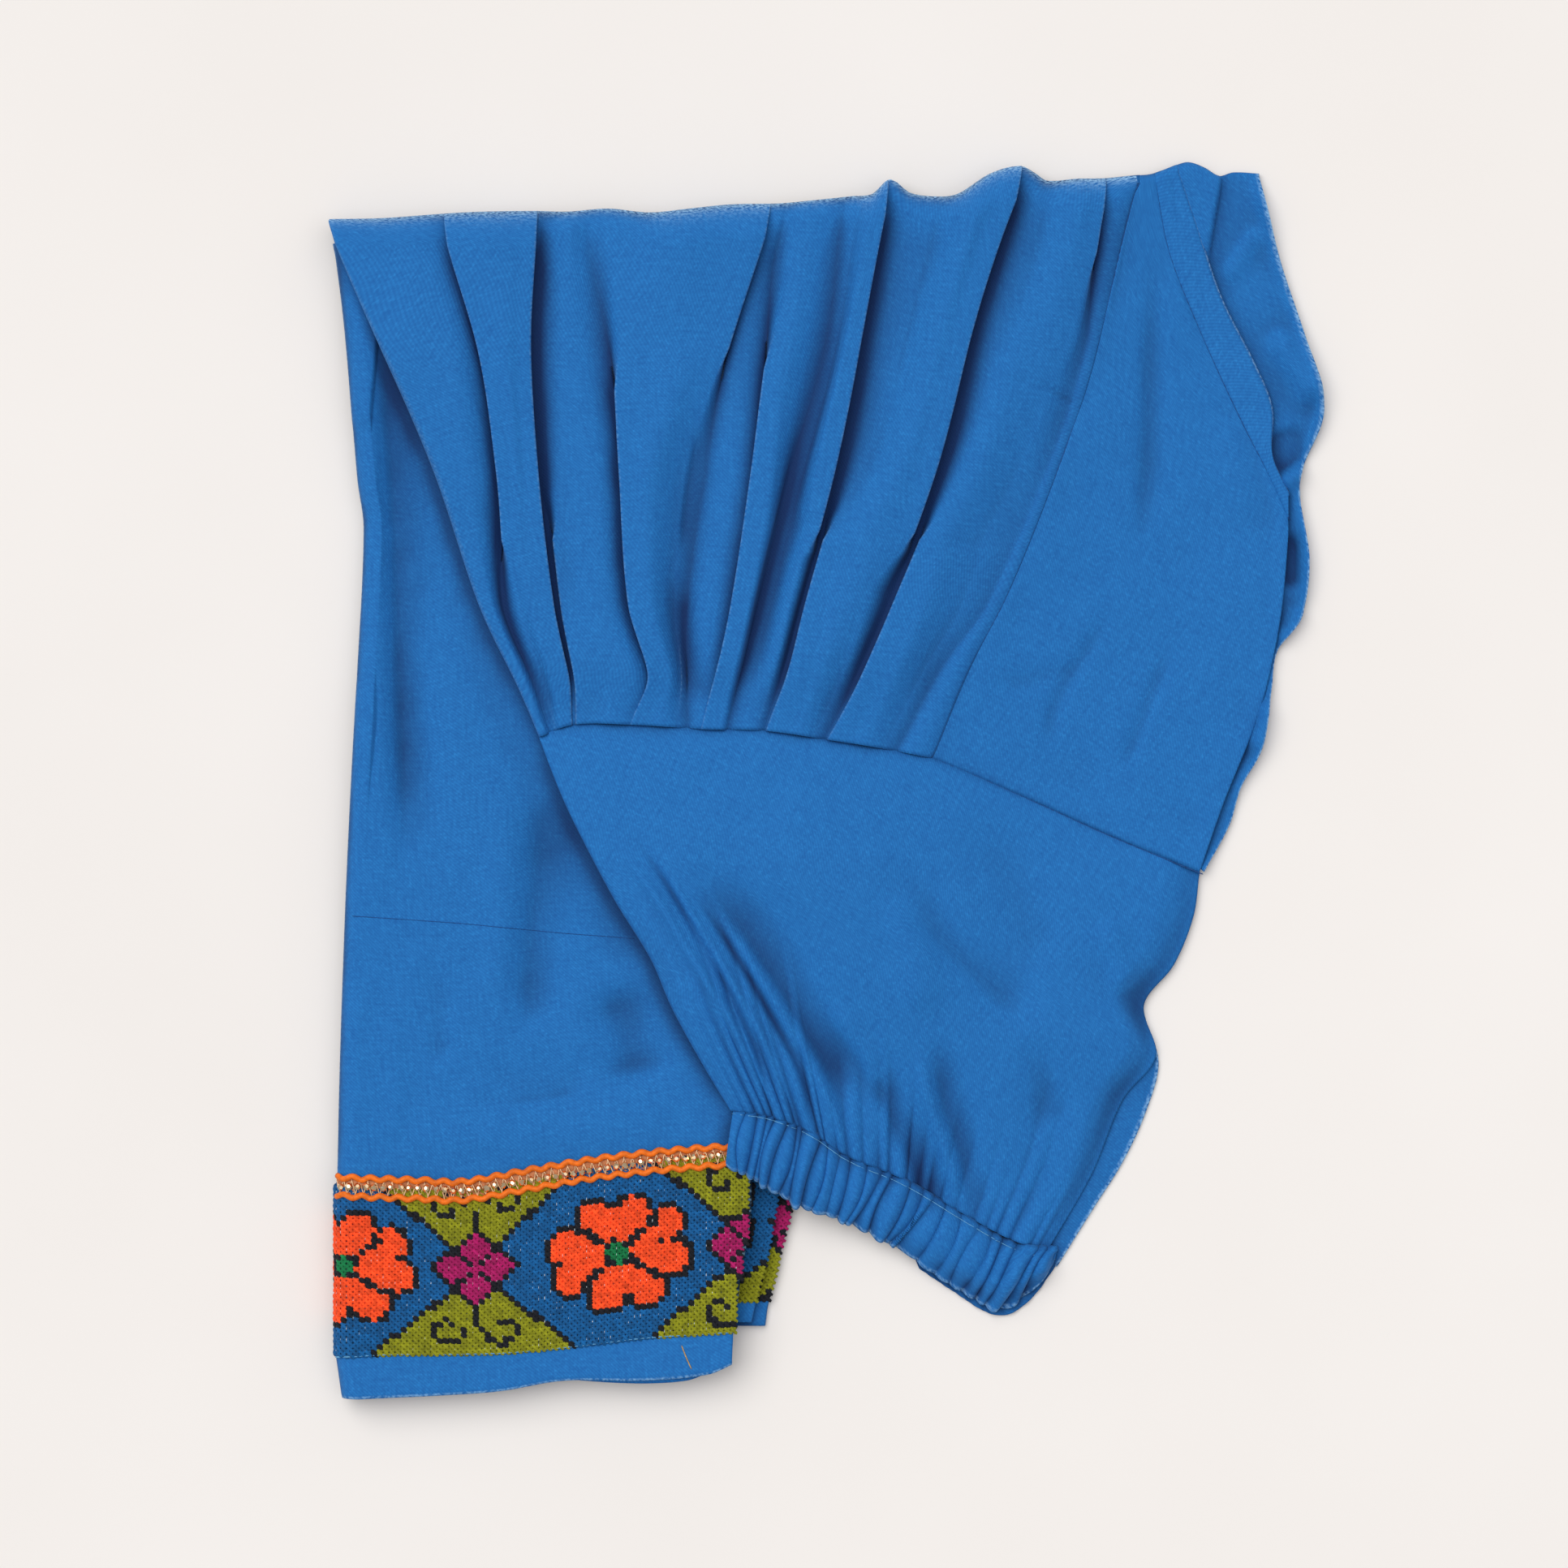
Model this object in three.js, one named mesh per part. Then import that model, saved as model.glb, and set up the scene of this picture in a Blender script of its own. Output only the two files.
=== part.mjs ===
// A woman's frock folded for storage and lying flat: the skirt is folded into a column at the left,
// its pleated front is turned down over the top edge, and the bodice and one puff sleeve lie to the right.
// Millimetres, +X to the right, +Y towards the top fold, +Z up from the surface that it lies on.

import * as THREE from "three";

// Driving sizes
const CLOTH = 1.0;
const CANVAS = 1.4;
const CASING = 1.2;
const SEAM_GAP = 0.3;
const STACK_HIGH = 12.5;
const STACK_LOW = 2.4;
const UPPER_LAYER = 1.5;
const FOLD_RADIUS = 0.65;
const COLUMN_ROLL = 6.0;
const TOP_ROLL = 6.5;
const ROLL_END = THREE.MathUtils.degToRad(118);
const PLEAT_SEAM_Y = 12;
const PLEAT_TOP_Y = 188;
const SLEEVE_PUFF = 7.5;
const SLEEVE_LIFT = 0.4;
const SLEEVE_GATHERS = 15;
const SLEEVE_ROLL = 1.9;
const CUFF_GATHERS = 19;
const CUFF_CROWN = 1.8;
const CUFF_LIFT = 1.6;
const CUFF_RUCHE = 0.8;
const CUFF_SETTLE = 0.6;
const BRAID_WIDTH = 8.5;
const BRAID_HEIGHT = 2.0;
const BRAID_WALL = 1.7;
const BRAID_LENGTH = 128;
const BRAID_START = 1.5;
const BRAID_DOME = 0.3;
const SCALLOP_PITCH = 6.1;
const SCALLOP_STEPS = 4;
const SCALLOP_DEPTH = 0.8;
const FOLD_SLAB = 2.6;
const FOLDS_RIGHT = -37.5;
const COLUMN_LEFT = -163 + COLUMN_ROLL;
const COLUMN_SHARE = 0.81;
const BAND_HEAD_RIGHT = -25;
const BAND_FOOT_RIGHT = -31;
const BAND_INSET = 0.5;
const BAND_LIFT = 0.2;
const HEM_LIFT = 0.1;
const HEM_CORNER = 2;
const BODICE_TOP_Y = 199;
const SEAM_BEND_Y = 45;
const TOP_BEND_Y = 122;
const LOWEST_ROLL = 2.5;
const PLEAT_CLEARANCE = 1.2;
const FULL_CROWN_WIDTH = 18;
const ARMHOLE_GAP = 0.7;
const CUFF_BACK_DEPTH = { x: -1.5, y: 3.5 };
const ON_BACK = 1.5 * CLOTH + SEAM_GAP;
const CENTRE = { x: 0.053, y: -0.132 };

// Edges and seams seen from above, each from its first named end to the other: x, y
const ARMHOLE_PLEATED = [
  [-95, 14], [-84, 18], [-64.5, 18], [-40.5, 16.5], [-20.5, 16], [0.5, 13], [16.5, 10.5], [35, 7],
];
const ARMHOLE_PLAIN = [[35, 7], [65, -5.5], [94, -18.5], [124.5, -31]];
const SIDE_SEAM = [[35, 7], [44.5, 27], [58.5, 58], [76, 101], [91.5, 144.5], [104.5, 190], [107, 199]];
const FRONT_EDGE = [
  [124.5, -31], [132.5, -8], [142, 15.5], [146.5, 29.5], [151.5, 54], [154, 81], [154, 87],
];
const NECK_STITCH = [[154, 87], [149, 98.5], [138, 120], [124, 150.5], [114, 176], [109.5, 199]];
const NECK_EDGE = [
  [154, 95.5], [148.5, 108], [148.5, 124], [143, 138], [131.5, 161], [123, 186.5], [117.5, 202],
];
const BACK_EDGE = [
  [126, -31], [134.5, -15.5], [138.5, -2.5], [145, 9.5], [148.5, 29.5], [150.5, 42.5], [158.5, 54],
  [161, 73], [158, 99.5], [166, 123], [159.5, 148.5], [151.5, 173], [147.5, 189], [144.5, 202],
];
const BACK_INNER = [
  [119.5, -25], [126, -8], [135, 16], [141, 40], [146, 62], [148, 85], [142, 104], [133, 124],
  [123, 147], [114, 172], [119, 205.5],
];
const SLEEVE_LEFT = [
  [-95, 13], [-89, -2.5], [-83, -15.5], [-70, -40], [-58, -59.5], [-51, -75.5], [-40, -95.5], [-31.5, -109.5],
];
const SLEEVE_RIGHT = [
  [124.5, -32], [122.5, -46], [116, -62], [106, -75.5], [110, -92.5], [99, -107], [88.5, -132], [74, -157],
];
const SLEEVE_OUTER = [
  [122, -35], [120, -47], [113, -62], [106, -75], [111, -94.5], [107, -110.5], [99, -128], [89.5, -143],
  [78, -160],
];
const SLEEVE_INNER = [
  [115, -35], [113.5, -47], [107.5, -60], [100.5, -74], [101, -92], [93, -108], [86, -125], [79, -140],
  [72, -154],
];
const CUFF_STITCH = [
  [-31, -110], [-19, -112], [-5.5, -117.5], [7, -126], [26, -134.5], [47.5, -147.5], [62, -155.5], [74, -159],
];
const CUFF_EDGE = [
  [-33.5, -128.5], [-24.5, -132.5], [-12, -140.5], [4.5, -146.5], [24, -156.5], [37.5, -166],
  [49.5, -173.5], [58.5, -177], [66.5, -173], [76, -161],
];
const CUFF_BACK_EDGE = [[31, -163.5], [43, -171.5], [54, -178.3], [61, -178.8], [69, -173], [76.5, -162.8]];
const SKIRT_LEFT = [
  [-164, 178], [-163, 173], [-160, 148.5], [-156, 100], [-154, 83.5], [-156, 35], [-159, -21.5],
  [-161.5, -86.5], [-162.5, -129.5], [-163, -162], [-162.5, -192], [-160, -206],
];
const SKIRT_RIGHT = [
  [-140, 176], [-126, 145], [-108, 101], [-94, 58], [-76, 15], [-62, -40], [-41, -85], [-28, -112],
  [-25, -124.5],
];
const BRAID_LINE = [
  [-163, -135], [-151, -135.5], [-135, -136], [-121, -136.5], [-97.5, -132.5], [-76.5, -129],
  [-55, -126.5], [-36, -125], [-24.5, -124.5],
];
const BAND_FOOT = [
  [-162.5, -192], [-145.5, -191], [-108.5, -190.5], [-81.5, -188], [-60.5, -185.5], [-30, -183.5],
];
const BAND_RIGHT = [[-24.5, -124.5], [-24.5, -140.5], [-25, -148], [-28, -165], [-30, -183.5]];
const HEM_FOOT = [
  [-160, -206], [-151, -205.5], [-129.5, -204.5], [-108.5, -203], [-87, -199.5], [-60.5, -199.5],
  [-39.5, -197.5], [-31, -194],
];
const TOP_EDGE = [
  [-164.5, 184], [-110, 185.5], [-70, 187], [-29, 188], [0, 189.5], [25, 192], [60, 196], [107, 199.5],
];
const UPPER_FOLD_EDGE = [
  [-16, -138.5], [-16.5, -141], [-18.2, -151], [-19.8, -160], [-22, -168], [-25, -181],
];
const LOWER_FOLD_EDGE = [
  [-11, -139.5], [-11.5, -143], [-14.7, -155.5], [-17.6, -168], [-19.5, -176], [-20.4, -182.5],
];

// Where the stack slopes from the folded skirt down to the single layers: y, high side x, low side x
const SLOPE = [
  [-205, -30, 30], [-160, -30, 35], [-130, -38, 45], [-60, -40, 75], [10, -25, 105], [100, 20, 130],
  [200, 40, 135],
];

// The pleated front's folds: the strip on top, x at six heights, laps at four (below zero, an open slope
// of that width), and the rise of the step at three
const PLEAT_COLUMNS = [
  "name", "over", "x12", "x32", "x58", "x101", "x145", "x188",
  "lap12", "lap58", "lap101", "lap188", "rise12", "rise101", "rise188",
];
const PLEATS = [
  ["strip_left", "right", -90.5, -95.5, -104.5, -108.5, -115, -126.5, -3, -3, 3, 4, 0.5, 2.8, 2.6],
  ["strip_right", "left", -85, -86, -91, -96, -98.5, -96.5, 2.5, 4, 3, 2, 2.6, 2.8, 2.6],
  ["slit_right", "right", -82.5, -83, -87.5, -92, -94, -90.5, 4, 4, -4, -6, 2.8, 1.4, 0.8],
  ["bulge", "right", -64.5, -58.5, -65, -68, -70.5, -74, 5, 4, 3, -8, 3.2, 2.8, 0.8],
  ["top_step", "left", -48, -47.5, -48.5, -44, -32.5, -19, -2, -4, -4, 5, 0.6, 1.0, 2.8],
  ["middle", "right", -41, -36.5, -31, -24.5, -18.5, -9, 6, 6, 4, -7, 2.8, 2.8, 0.6],
  ["lit_strip", "right", -31, -27, -21, -10, 2, 8, -2.5, -2.5, -2.5, -3, 0.3, 0.3, 1.2],
  ["upper_third", "left", -21.8, -16.8, -9.8, 1.8, 11, 20, -2, -4, 3, 6, 0.8, 2.8, 3.0],
  ["lower_third", "right", -19.5, -13, -6.5, 5.5, 15.5, 25.5, 6.5, 5, -5, -9, 3.0, 1.4, 0.6],
  ["upper_last", "left", -1.8, 7.2, 19.2, 35.2, 47.5, 64.5, -3, -5, 4, 6, 0.8, 2.8, 3.0],
  ["lower_last", "right", 0.8, 11, 22.5, 39.8, 52.2, 69.8, 6.5, 5, -5, -9, 3.0, 1.4, 0.6],
  ["shoulder", "left", 20.5, 31.5, 49, 69.5, 84, 92.5, -7, -8, -8, 2.5, 0.3, 0.5, 2.6],
].map((row) => Object.fromEntries(PLEAT_COLUMNS.map((name, i) => [name, row[i]])));
const PLEAT_LEFT = { x: [-95, -103, -115, -129.5, -148, -165.4], roll: [0.8, 1.2, 1.7, 2.4, 2.4, 1.0] };
const PLEAT_RIGHT = { x: [35, 44.5, 58.5, 76, 91.5, 104.5] };
const PLEAT_HEIGHTS = [12, 32, 58, 101, 145, 188];
const PLEAT_ROWS = [12, 21, 34, 48, 64, 84, 108, 134, 160, PLEAT_TOP_Y - TOP_ROLL];
const ROLL_STEPS = [0.3, 0.65, 1];
const STRIP_CROWN = 1.0;
const STRIP_STEPS = 2;
const ARC_STEPS = 3;
const NECK_ROWS = 8;

// The layered side of the hidden folds: share of the local height, and how far that line lies inside the edge
const LAYERED_SIDE = [
  [0, 1.8], [0.1, 0.4], [0.2, 0.4], [0.28, 1.6], [0.36, 0.4], [0.5, 0.4], [0.58, 1.6], [0.68, 0.5],
  [0.86, 0.9], [0.96, 2.3], [1, 4.5],
];
const CORE_RINGS = [0.9, 0.76, 0.6, 0.44, 0.28, 0.12];
const CORE_MIDDLE = { x: -50, y: 0 };
const CORE_POINTS = 76;
const CORE_CLEARANCE = 1.1;
const SLEEVE_MOUND = { x: 22, y: -60, halfX: 62, halfY: 62, height: 5.5 };

const mix = (a, b, t) => a + (b - a) * t;
const clamp = (t) => Math.min(1, Math.max(0, t));
const ease = (a, b, t) => {
  const k = clamp((t - a) / (b - a));
  return k * k * (3 - 2 * k);
};

// A smooth line through values given at rising stations
function graph(stations, values) {
  const last = stations.length - 1;
  const slope = values.map((_, i) => {
    const a = Math.max(i - 1, 0);
    const b = Math.min(i + 1, last);
    return (values[b] - values[a]) / (stations[b] - stations[a]);
  });
  return (at) => {
    const s = Math.min(stations[last], Math.max(stations[0], at));
    let i = 0;
    while (i < last - 1 && s > stations[i + 1]) i += 1;
    const h = stations[i + 1] - stations[i];
    const k = (s - stations[i]) / h;
    const k2 = k * k;
    const k3 = k2 * k;
    return values[i] * (2 * k3 - 3 * k2 + 1) + slope[i] * h * (k3 - 2 * k2 + k)
      + values[i + 1] * (3 * k2 - 2 * k3) + slope[i + 1] * h * (k3 - k2);
  };
}

// A smooth plan curve through points, by its share of length, moved by dx and dy
function curve(points, dx = 0, dy = 0) {
  const run = [0];
  for (let i = 1; i < points.length; i += 1) {
    run.push(run[i - 1] + Math.hypot(points[i][0] - points[i - 1][0], points[i][1] - points[i - 1][1]));
  }
  const total = run[run.length - 1];
  const x = graph(run, points.map((p) => p[0]));
  const y = graph(run, points.map((p) => p[1]));
  return (t) => ({ x: x(t * total) + dx, y: y(t * total) + dy });
}

// A patch between four plan curves: foot and head run left to right, left and right run foot to head
function patch(foot, head, left, right) {
  const corners = [foot(0), foot(1), head(0), head(1)];
  const blend = (key, u, v) => {
    const edges = mix(foot(u)[key], head(u)[key], v) + mix(left(v)[key], right(v)[key], u);
    const low = mix(corners[0][key], corners[1][key], u);
    const high = mix(corners[2][key], corners[3][key], u);
    return edges - mix(low, high, v);
  };
  return (u, v) => ({ x: blend("x", u, v), y: blend("y", u, v) });
}

// A strip between two plan curves, straight across at every height
const ruled = (left, right) => (u, v) => ({
  x: mix(left(v).x, right(v).x, u),
  y: mix(left(v).y, right(v).y, u),
});

const reversed = (line) => (t) => line(1 - t);
const slopeHigh = graph(SLOPE.map((r) => r[0]), SLOPE.map((r) => r[1]));
const slopeLow = graph(SLOPE.map((r) => r[0]), SLOPE.map((r) => r[2]));
const heightOf = (points) => graph(points.map((p) => p[0]), points.map((p) => p[1]));
const topEdge = heightOf(TOP_EDGE);
const braidY = heightOf(BRAID_LINE);
const bandFootY = heightOf(BAND_FOOT);
const hemFootY = heightOf(HEM_FOOT);

// Height of the middle of the top skirt layer, which the other layers lie above
const bed = (x, y) => mix(STACK_HIGH, STACK_LOW, ease(slopeHigh(y), slopeLow(y), x));

// A closed wall of the given thickness about a grid of points, rows of THREE.Vector3
function wall(grid, thickness) {
  const rows = grid.length;
  const columns = grid[0].length;
  const positions = [];
  const side = (sign) => grid.map((row, i) => row.map((point, j) => {
    const along = row[Math.min(j + 1, columns - 1)].clone().sub(row[Math.max(j - 1, 0)]);
    const up = grid[Math.min(i + 1, rows - 1)][j].clone().sub(grid[Math.max(i - 1, 0)][j]);
    const normal = along.cross(up).normalize();
    return point.clone().addScaledVector(normal, (sign * thickness) / 2);
  }));
  const top = side(1);
  const bottom = side(-1);
  const quad = (a, b, c, d) => {
    const split = a.distanceToSquared(c) <= b.distanceToSquared(d) ? [a, b, c, a, c, d] : [a, b, d, b, c, d];
    split.forEach((p) => positions.push(p.x, p.y, p.z));
  };
  for (let i = 0; i < rows - 1; i += 1) {
    for (let j = 0; j < columns - 1; j += 1) {
      quad(top[i][j], top[i][j + 1], top[i + 1][j + 1], top[i + 1][j]);
      quad(bottom[i][j], bottom[i + 1][j], bottom[i + 1][j + 1], bottom[i][j + 1]);
    }
  }
  const rim = [];
  for (let j = 0; j < columns - 1; j += 1) rim.push([0, j]);
  for (let i = 0; i < rows - 1; i += 1) rim.push([i, columns - 1]);
  for (let j = columns - 1; j > 0; j -= 1) rim.push([rows - 1, j]);
  for (let i = rows - 1; i > 0; i -= 1) rim.push([i, 0]);
  rim.forEach(([i, j], n) => {
    const [k, l] = rim[(n + 1) % rim.length];
    quad(bottom[i][j], bottom[k][l], top[k][l], top[i][j]);
  });
  return solid(positions);
}

function solid(positions) {
  const geometry = new THREE.BufferGeometry();
  geometry.setAttribute("position", new THREE.Float32BufferAttribute(positions, 3));
  geometry.computeVertexNormals();
  return geometry;
}

// Rows of a patch with a height, and a left edge rolled down by the radius that leftRoll gives
function lay(plan, height, columns, rows, leftRoll = null) {
  const grid = [];
  for (let i = 0; i <= rows; i += 1) {
    const v = i / rows;
    const row = [];
    const at = (u) => {
      const p = plan(u, v);
      return new THREE.Vector3(p.x, p.y, height(p.x, p.y, u, v));
    };
    if (leftRoll) {
      const radius = leftRoll(v);
      row.push(...ROLL_STEPS.map((share) => {
        const p = at(0);
        p.x -= radius * Math.sin(share * ROLL_END);
        p.z += radius * (Math.cos(share * ROLL_END) - 1);
        return p;
      }).reverse());
    }
    for (let j = 0; j <= columns; j += 1) row.push(at(j / columns));
    grid.push(row);
  }
  return grid;
}

// One fold of a pleat as a path round two circles, from the lower layer to the upper one going right:
// dx from lower to upper turn, rise of the step; points are x from the lower turn, and lift
function foldPath(dx, rise) {
  const r = FOLD_RADIUS;
  const rest = dx > 0 ? Math.sqrt(Math.max(0, 4 * r * r - dx * dx)) : 2 * r;
  const step = Math.max(rise, 2 * r + rest + 0.02);
  const dz = step - 2 * r;
  const turn = Math.atan2(dz, dx) + Math.asin(Math.min(1, (2 * r) / Math.hypot(dx, dz)));
  const path = [];
  for (let i = 0; i <= ARC_STEPS; i += 1) {
    const a = (turn * i) / ARC_STEPS;
    path.push([r * Math.sin(a), r - r * Math.cos(a)]);
  }
  for (let i = ARC_STEPS; i >= 0; i -= 1) {
    const a = (turn * i) / ARC_STEPS;
    path.push([dx - r * Math.sin(a), step - r + r * Math.cos(a)]);
  }
  return { path, step };
}

// The pleated front's section at a height: points of x and lift above its lowest layer
function pleatSection(y) {
  const at = (values) => graph(PLEAT_HEIGHTS, values)(y);
  const left = at(PLEAT_LEFT.x);
  const roll = at(PLEAT_LEFT.roll);
  const folds = PLEATS.map((p) => {
    const x = at([p.x12, p.x32, p.x58, p.x101, p.x145, p.x188]);
    const lap = graph([12, 58, 101, 188], [p.lap12, p.lap58, p.lap101, p.lap188])(y);
    const rise = graph([12, 101, 188], [p.rise12, p.rise101, p.rise188])(y);
    const fold = foldPath(-lap, rise);
    const rightOver = p.over === "right";
    const lowerX = x + Math.max(lap, 0) * (rightOver ? 1 : -1);
    const points = fold.path.map(([dx, lift]) => [lowerX + (rightOver ? dx : -dx), lift]);
    if (!rightOver) points.reverse();
    return { points, lap, x, before: rightOver ? 0 : fold.step, after: rightOver ? fold.step : 0 };
  });
  const first = folds[0].points[0][0];
  const under = Math.min(10, (first - left) * 0.4);
  const section = [[left + roll + under, 0], [left + roll, 0]];
  for (let i = 1; i <= 4; i += 1) {
    const a = (Math.PI * i) / 4;
    section.push([left + roll - roll * Math.sin(a), roll - roll * Math.cos(a)]);
  }
  const right = at(PLEAT_RIGHT.x) - SEAM_GAP / 2;
  const ends = [...folds, { points: [[right, 0]], before: 0, lap: 0, x: right }];
  let from = { x: left + roll, level: 2 * roll, hold: left + roll + under + PLEAT_CLEARANCE };
  ends.forEach((fold) => {
    const to = fold.points[0][0];
    const free = fold.before > 0 && fold.lap > 0 ? fold.x - fold.lap - FOLD_RADIUS - PLEAT_CLEARANCE : to;
    for (let i = 1; i <= STRIP_STEPS; i += 1) {
      const t = i / (STRIP_STEPS + 1);
      const x = mix(from.x, to, t);
      const crown = STRIP_CROWN * Math.min(1, (to - from.x) / FULL_CROWN_WIDTH) * 4 * t * (1 - t);
      const level = mix(from.level, fold.before, ease(Math.min(from.hold, free - 1), free, x));
      section.push([x, level + Math.max(crown, 0)]);
    }
    section.push(...fold.points);
    const end = fold.points[fold.points.length - 1];
    const pastLap = fold.x + fold.lap + FOLD_RADIUS + PLEAT_CLEARANCE;
    const hold = fold.after > 0 && fold.lap > 0 ? pastLap : end[0];
    from = { x: end[0], level: fold.after, hold };
  });
  return section;
}

function skirtFront() {
  const seamY = heightOf(ARMHOLE_PLEATED);
  const planY = (y, x) => {
    const toSeam = (seamY(x) - PLEAT_SEAM_Y) * (1 - ease(PLEAT_SEAM_Y, SEAM_BEND_Y, y));
    const toTop = (topEdge(x) - PLEAT_TOP_Y) * ease(TOP_BEND_Y, PLEAT_TOP_Y - TOP_ROLL, y);
    return y + toSeam + toTop;
  };
  const grid = PLEAT_ROWS.map((y) => pleatSection(y).map(([x, lift]) => {
    const py = planY(y, x);
    return new THREE.Vector3(x, py, bed(x, py) + UPPER_LAYER + lift);
  }));
  const section = pleatSection(PLEAT_TOP_Y);
  ROLL_STEPS.forEach((share) => {
    grid.push(section.map(([x, lift]) => {
      const py = planY(PLEAT_TOP_Y - TOP_ROLL, x);
      const high = bed(x, py) + UPPER_LAYER;
      const radius = Math.min(TOP_ROLL, (high - LOWEST_ROLL) / (1 - Math.cos(ROLL_END)));
      const angle = share * ROLL_END;
      const reach = TOP_ROLL - radius;
      const y = py + reach * share + (radius + lift) * Math.sin(angle);
      return new THREE.Vector3(x, y, high - radius + (radius + lift) * Math.cos(angle));
    }));
  });
  return wall(grid, CLOTH);
}

// A seam that follows a line of heights, from one x to another, moved by a share of the seam's gap
const seam = (heightAt, fromX, toX, shift) => (u) => {
  const x = mix(fromX, toX, u);
  return { x, y: heightAt(x) + shift };
};
const straight = (from, to) => (t) => ({ x: mix(from.x, to.x, t), y: mix(from.y, to.y, t) });
const columnRoll = () => COLUMN_ROLL;

function skirtPanel() {
  const side = curve(SKIRT_LEFT, COLUMN_ROLL);
  const right = reversed(curve(SKIRT_RIGHT));
  const foot = seam(braidY, COLUMN_LEFT, right(0).x, SEAM_GAP / 2);
  const left = (v) => (v === 0 ? foot(0) : side(mix(COLUMN_SHARE, 0, v)));
  const plan = patch(foot, straight(left(1), right(1)), left, right);
  return wall(lay(plan, bed, 8, 12, columnRoll), CLOTH);
}

function stitchBand() {
  const foot = seam(bandFootY, COLUMN_LEFT, BAND_FOOT_RIGHT, SEAM_GAP / 2);
  const head = seam(braidY, COLUMN_LEFT, BAND_HEAD_RIGHT, -SEAM_GAP / 2);
  const edge = reversed(curve(BAND_RIGHT, -BAND_INSET));
  const right = (v) => ({ x: edge(v).x, y: mix(foot(1).y, head(1).y, v) });
  const plan = patch(foot, head, straight(foot(0), head(0)), right);
  return wall(lay(plan, (x, y) => bed(x, y) + BAND_LIFT, 8, 4, columnRoll), CANVAS);
}

function hemBand() {
  const foot = seam(hemFootY, COLUMN_LEFT + HEM_CORNER, BAND_FOOT_RIGHT - BAND_INSET, 0);
  const head = seam(bandFootY, COLUMN_LEFT, BAND_FOOT_RIGHT, -SEAM_GAP / 2);
  const plan = patch(foot, head, straight(foot(0), head(0)), straight(foot(1), head(1)));
  return wall(lay(plan, (x, y) => bed(x, y) + HEM_LIFT, 8, 3, columnRoll), CASING);
}

// The braid's scalloped tape, which lies over the seam of panel and band
function braid() {
  const line = curve(BRAID_LINE.slice(0, 8));
  const steps = Math.round(BRAID_LENGTH / SCALLOP_PITCH) * SCALLOP_STEPS;
  const tapeRoll = COLUMN_ROLL + BRAID_HEIGHT;
  const lift = BAND_LIFT + CANVAS / 2 + SEAM_GAP + BRAID_HEIGHT / 2;
  const grid = [];
  for (let i = 0; i <= steps; i += 1) {
    const t = i / steps;
    const p = line(t);
    const q = line(Math.min(1, t + 0.01));
    const o = line(Math.max(0, t - 0.01));
    const across = new THREE.Vector2(-(q.y - o.y), q.x - o.x).normalize();
    const x = p.x + BRAID_START;
    const past = Math.min(0, x - COLUMN_LEFT);
    const z = bed(p.x, p.y) + lift - tapeRoll + Math.sqrt(tapeRoll ** 2 - past ** 2);
    const half = BRAID_WIDTH / 2 - SCALLOP_DEPTH * (1 - Math.cos((2 * Math.PI * i) / SCALLOP_STEPS));
    grid.push([1, 0, -1].map((side) => new THREE.Vector3(
      x + across.x * half * side,
      p.y + across.y * half * side,
      z + BRAID_DOME * (0.3 - Math.abs(side)),
    )));
  }
  return wall(grid, BRAID_WALL);
}

// Two pressed layers of the folds that show past the top one at the lower right
function foldEdge(edge, z) {
  const right = reversed(curve(edge, -FOLD_SLAB / 2));
  const left = (v) => ({ x: FOLDS_RIGHT + SEAM_GAP, y: right(v).y });
  const grid = lay(ruled(left, right), () => z + FOLD_SLAB / 2, 2, 5);
  return wall(grid, FOLD_SLAB);
}

function bodiceFront() {
  const left = curve(SIDE_SEAM, SEAM_GAP / 2);
  const low = curve(FRONT_EDGE, -SEAM_GAP / 2);
  const high = curve(NECK_STITCH, -SEAM_GAP / 2);
  const right = (v) => (v <= 0.5 ? low(2 * v) : high(2 * v - 1));
  const foot = curve(ARMHOLE_PLAIN, SEAM_GAP / 2);
  const head = (u) => ({ x: mix(left(1).x, right(1).x, u), y: BODICE_TOP_Y });
  const plan = patch(foot, head, left, right);
  const height = (x, y, u, v) => {
    const settle = ease(0.75, 1, u) * (1 - ease(0.3, 0.42, v));
    return mix(bed(x, y) + UPPER_LAYER, ON_BACK, settle);
  };
  return wall(lay(plan, height, 6, 2 * NECK_ROWS), CLOTH);
}

function neckFacing() {
  const left = curve(NECK_STITCH, SEAM_GAP / 2);
  const right = curve(NECK_EDGE);
  return wall(lay(ruled(left, right), (x, y, u) => mix(bed(x, y) + UPPER_LAYER, ON_BACK, u), 2, NECK_ROWS), CLOTH);
}

function bodiceBack() {
  const left = curve(BACK_INNER);
  const right = curve(BACK_EDGE);
  return wall(lay(ruled(left, right), () => CLOTH / 2, 3, 18), CLOTH);
}

function sleeveBack() {
  const left = reversed(curve(SLEEVE_INNER));
  const right = reversed(curve(SLEEVE_OUTER));
  return wall(lay(ruled(left, right), () => CLOTH / 2, 2, 9), CLOTH);
}

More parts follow.
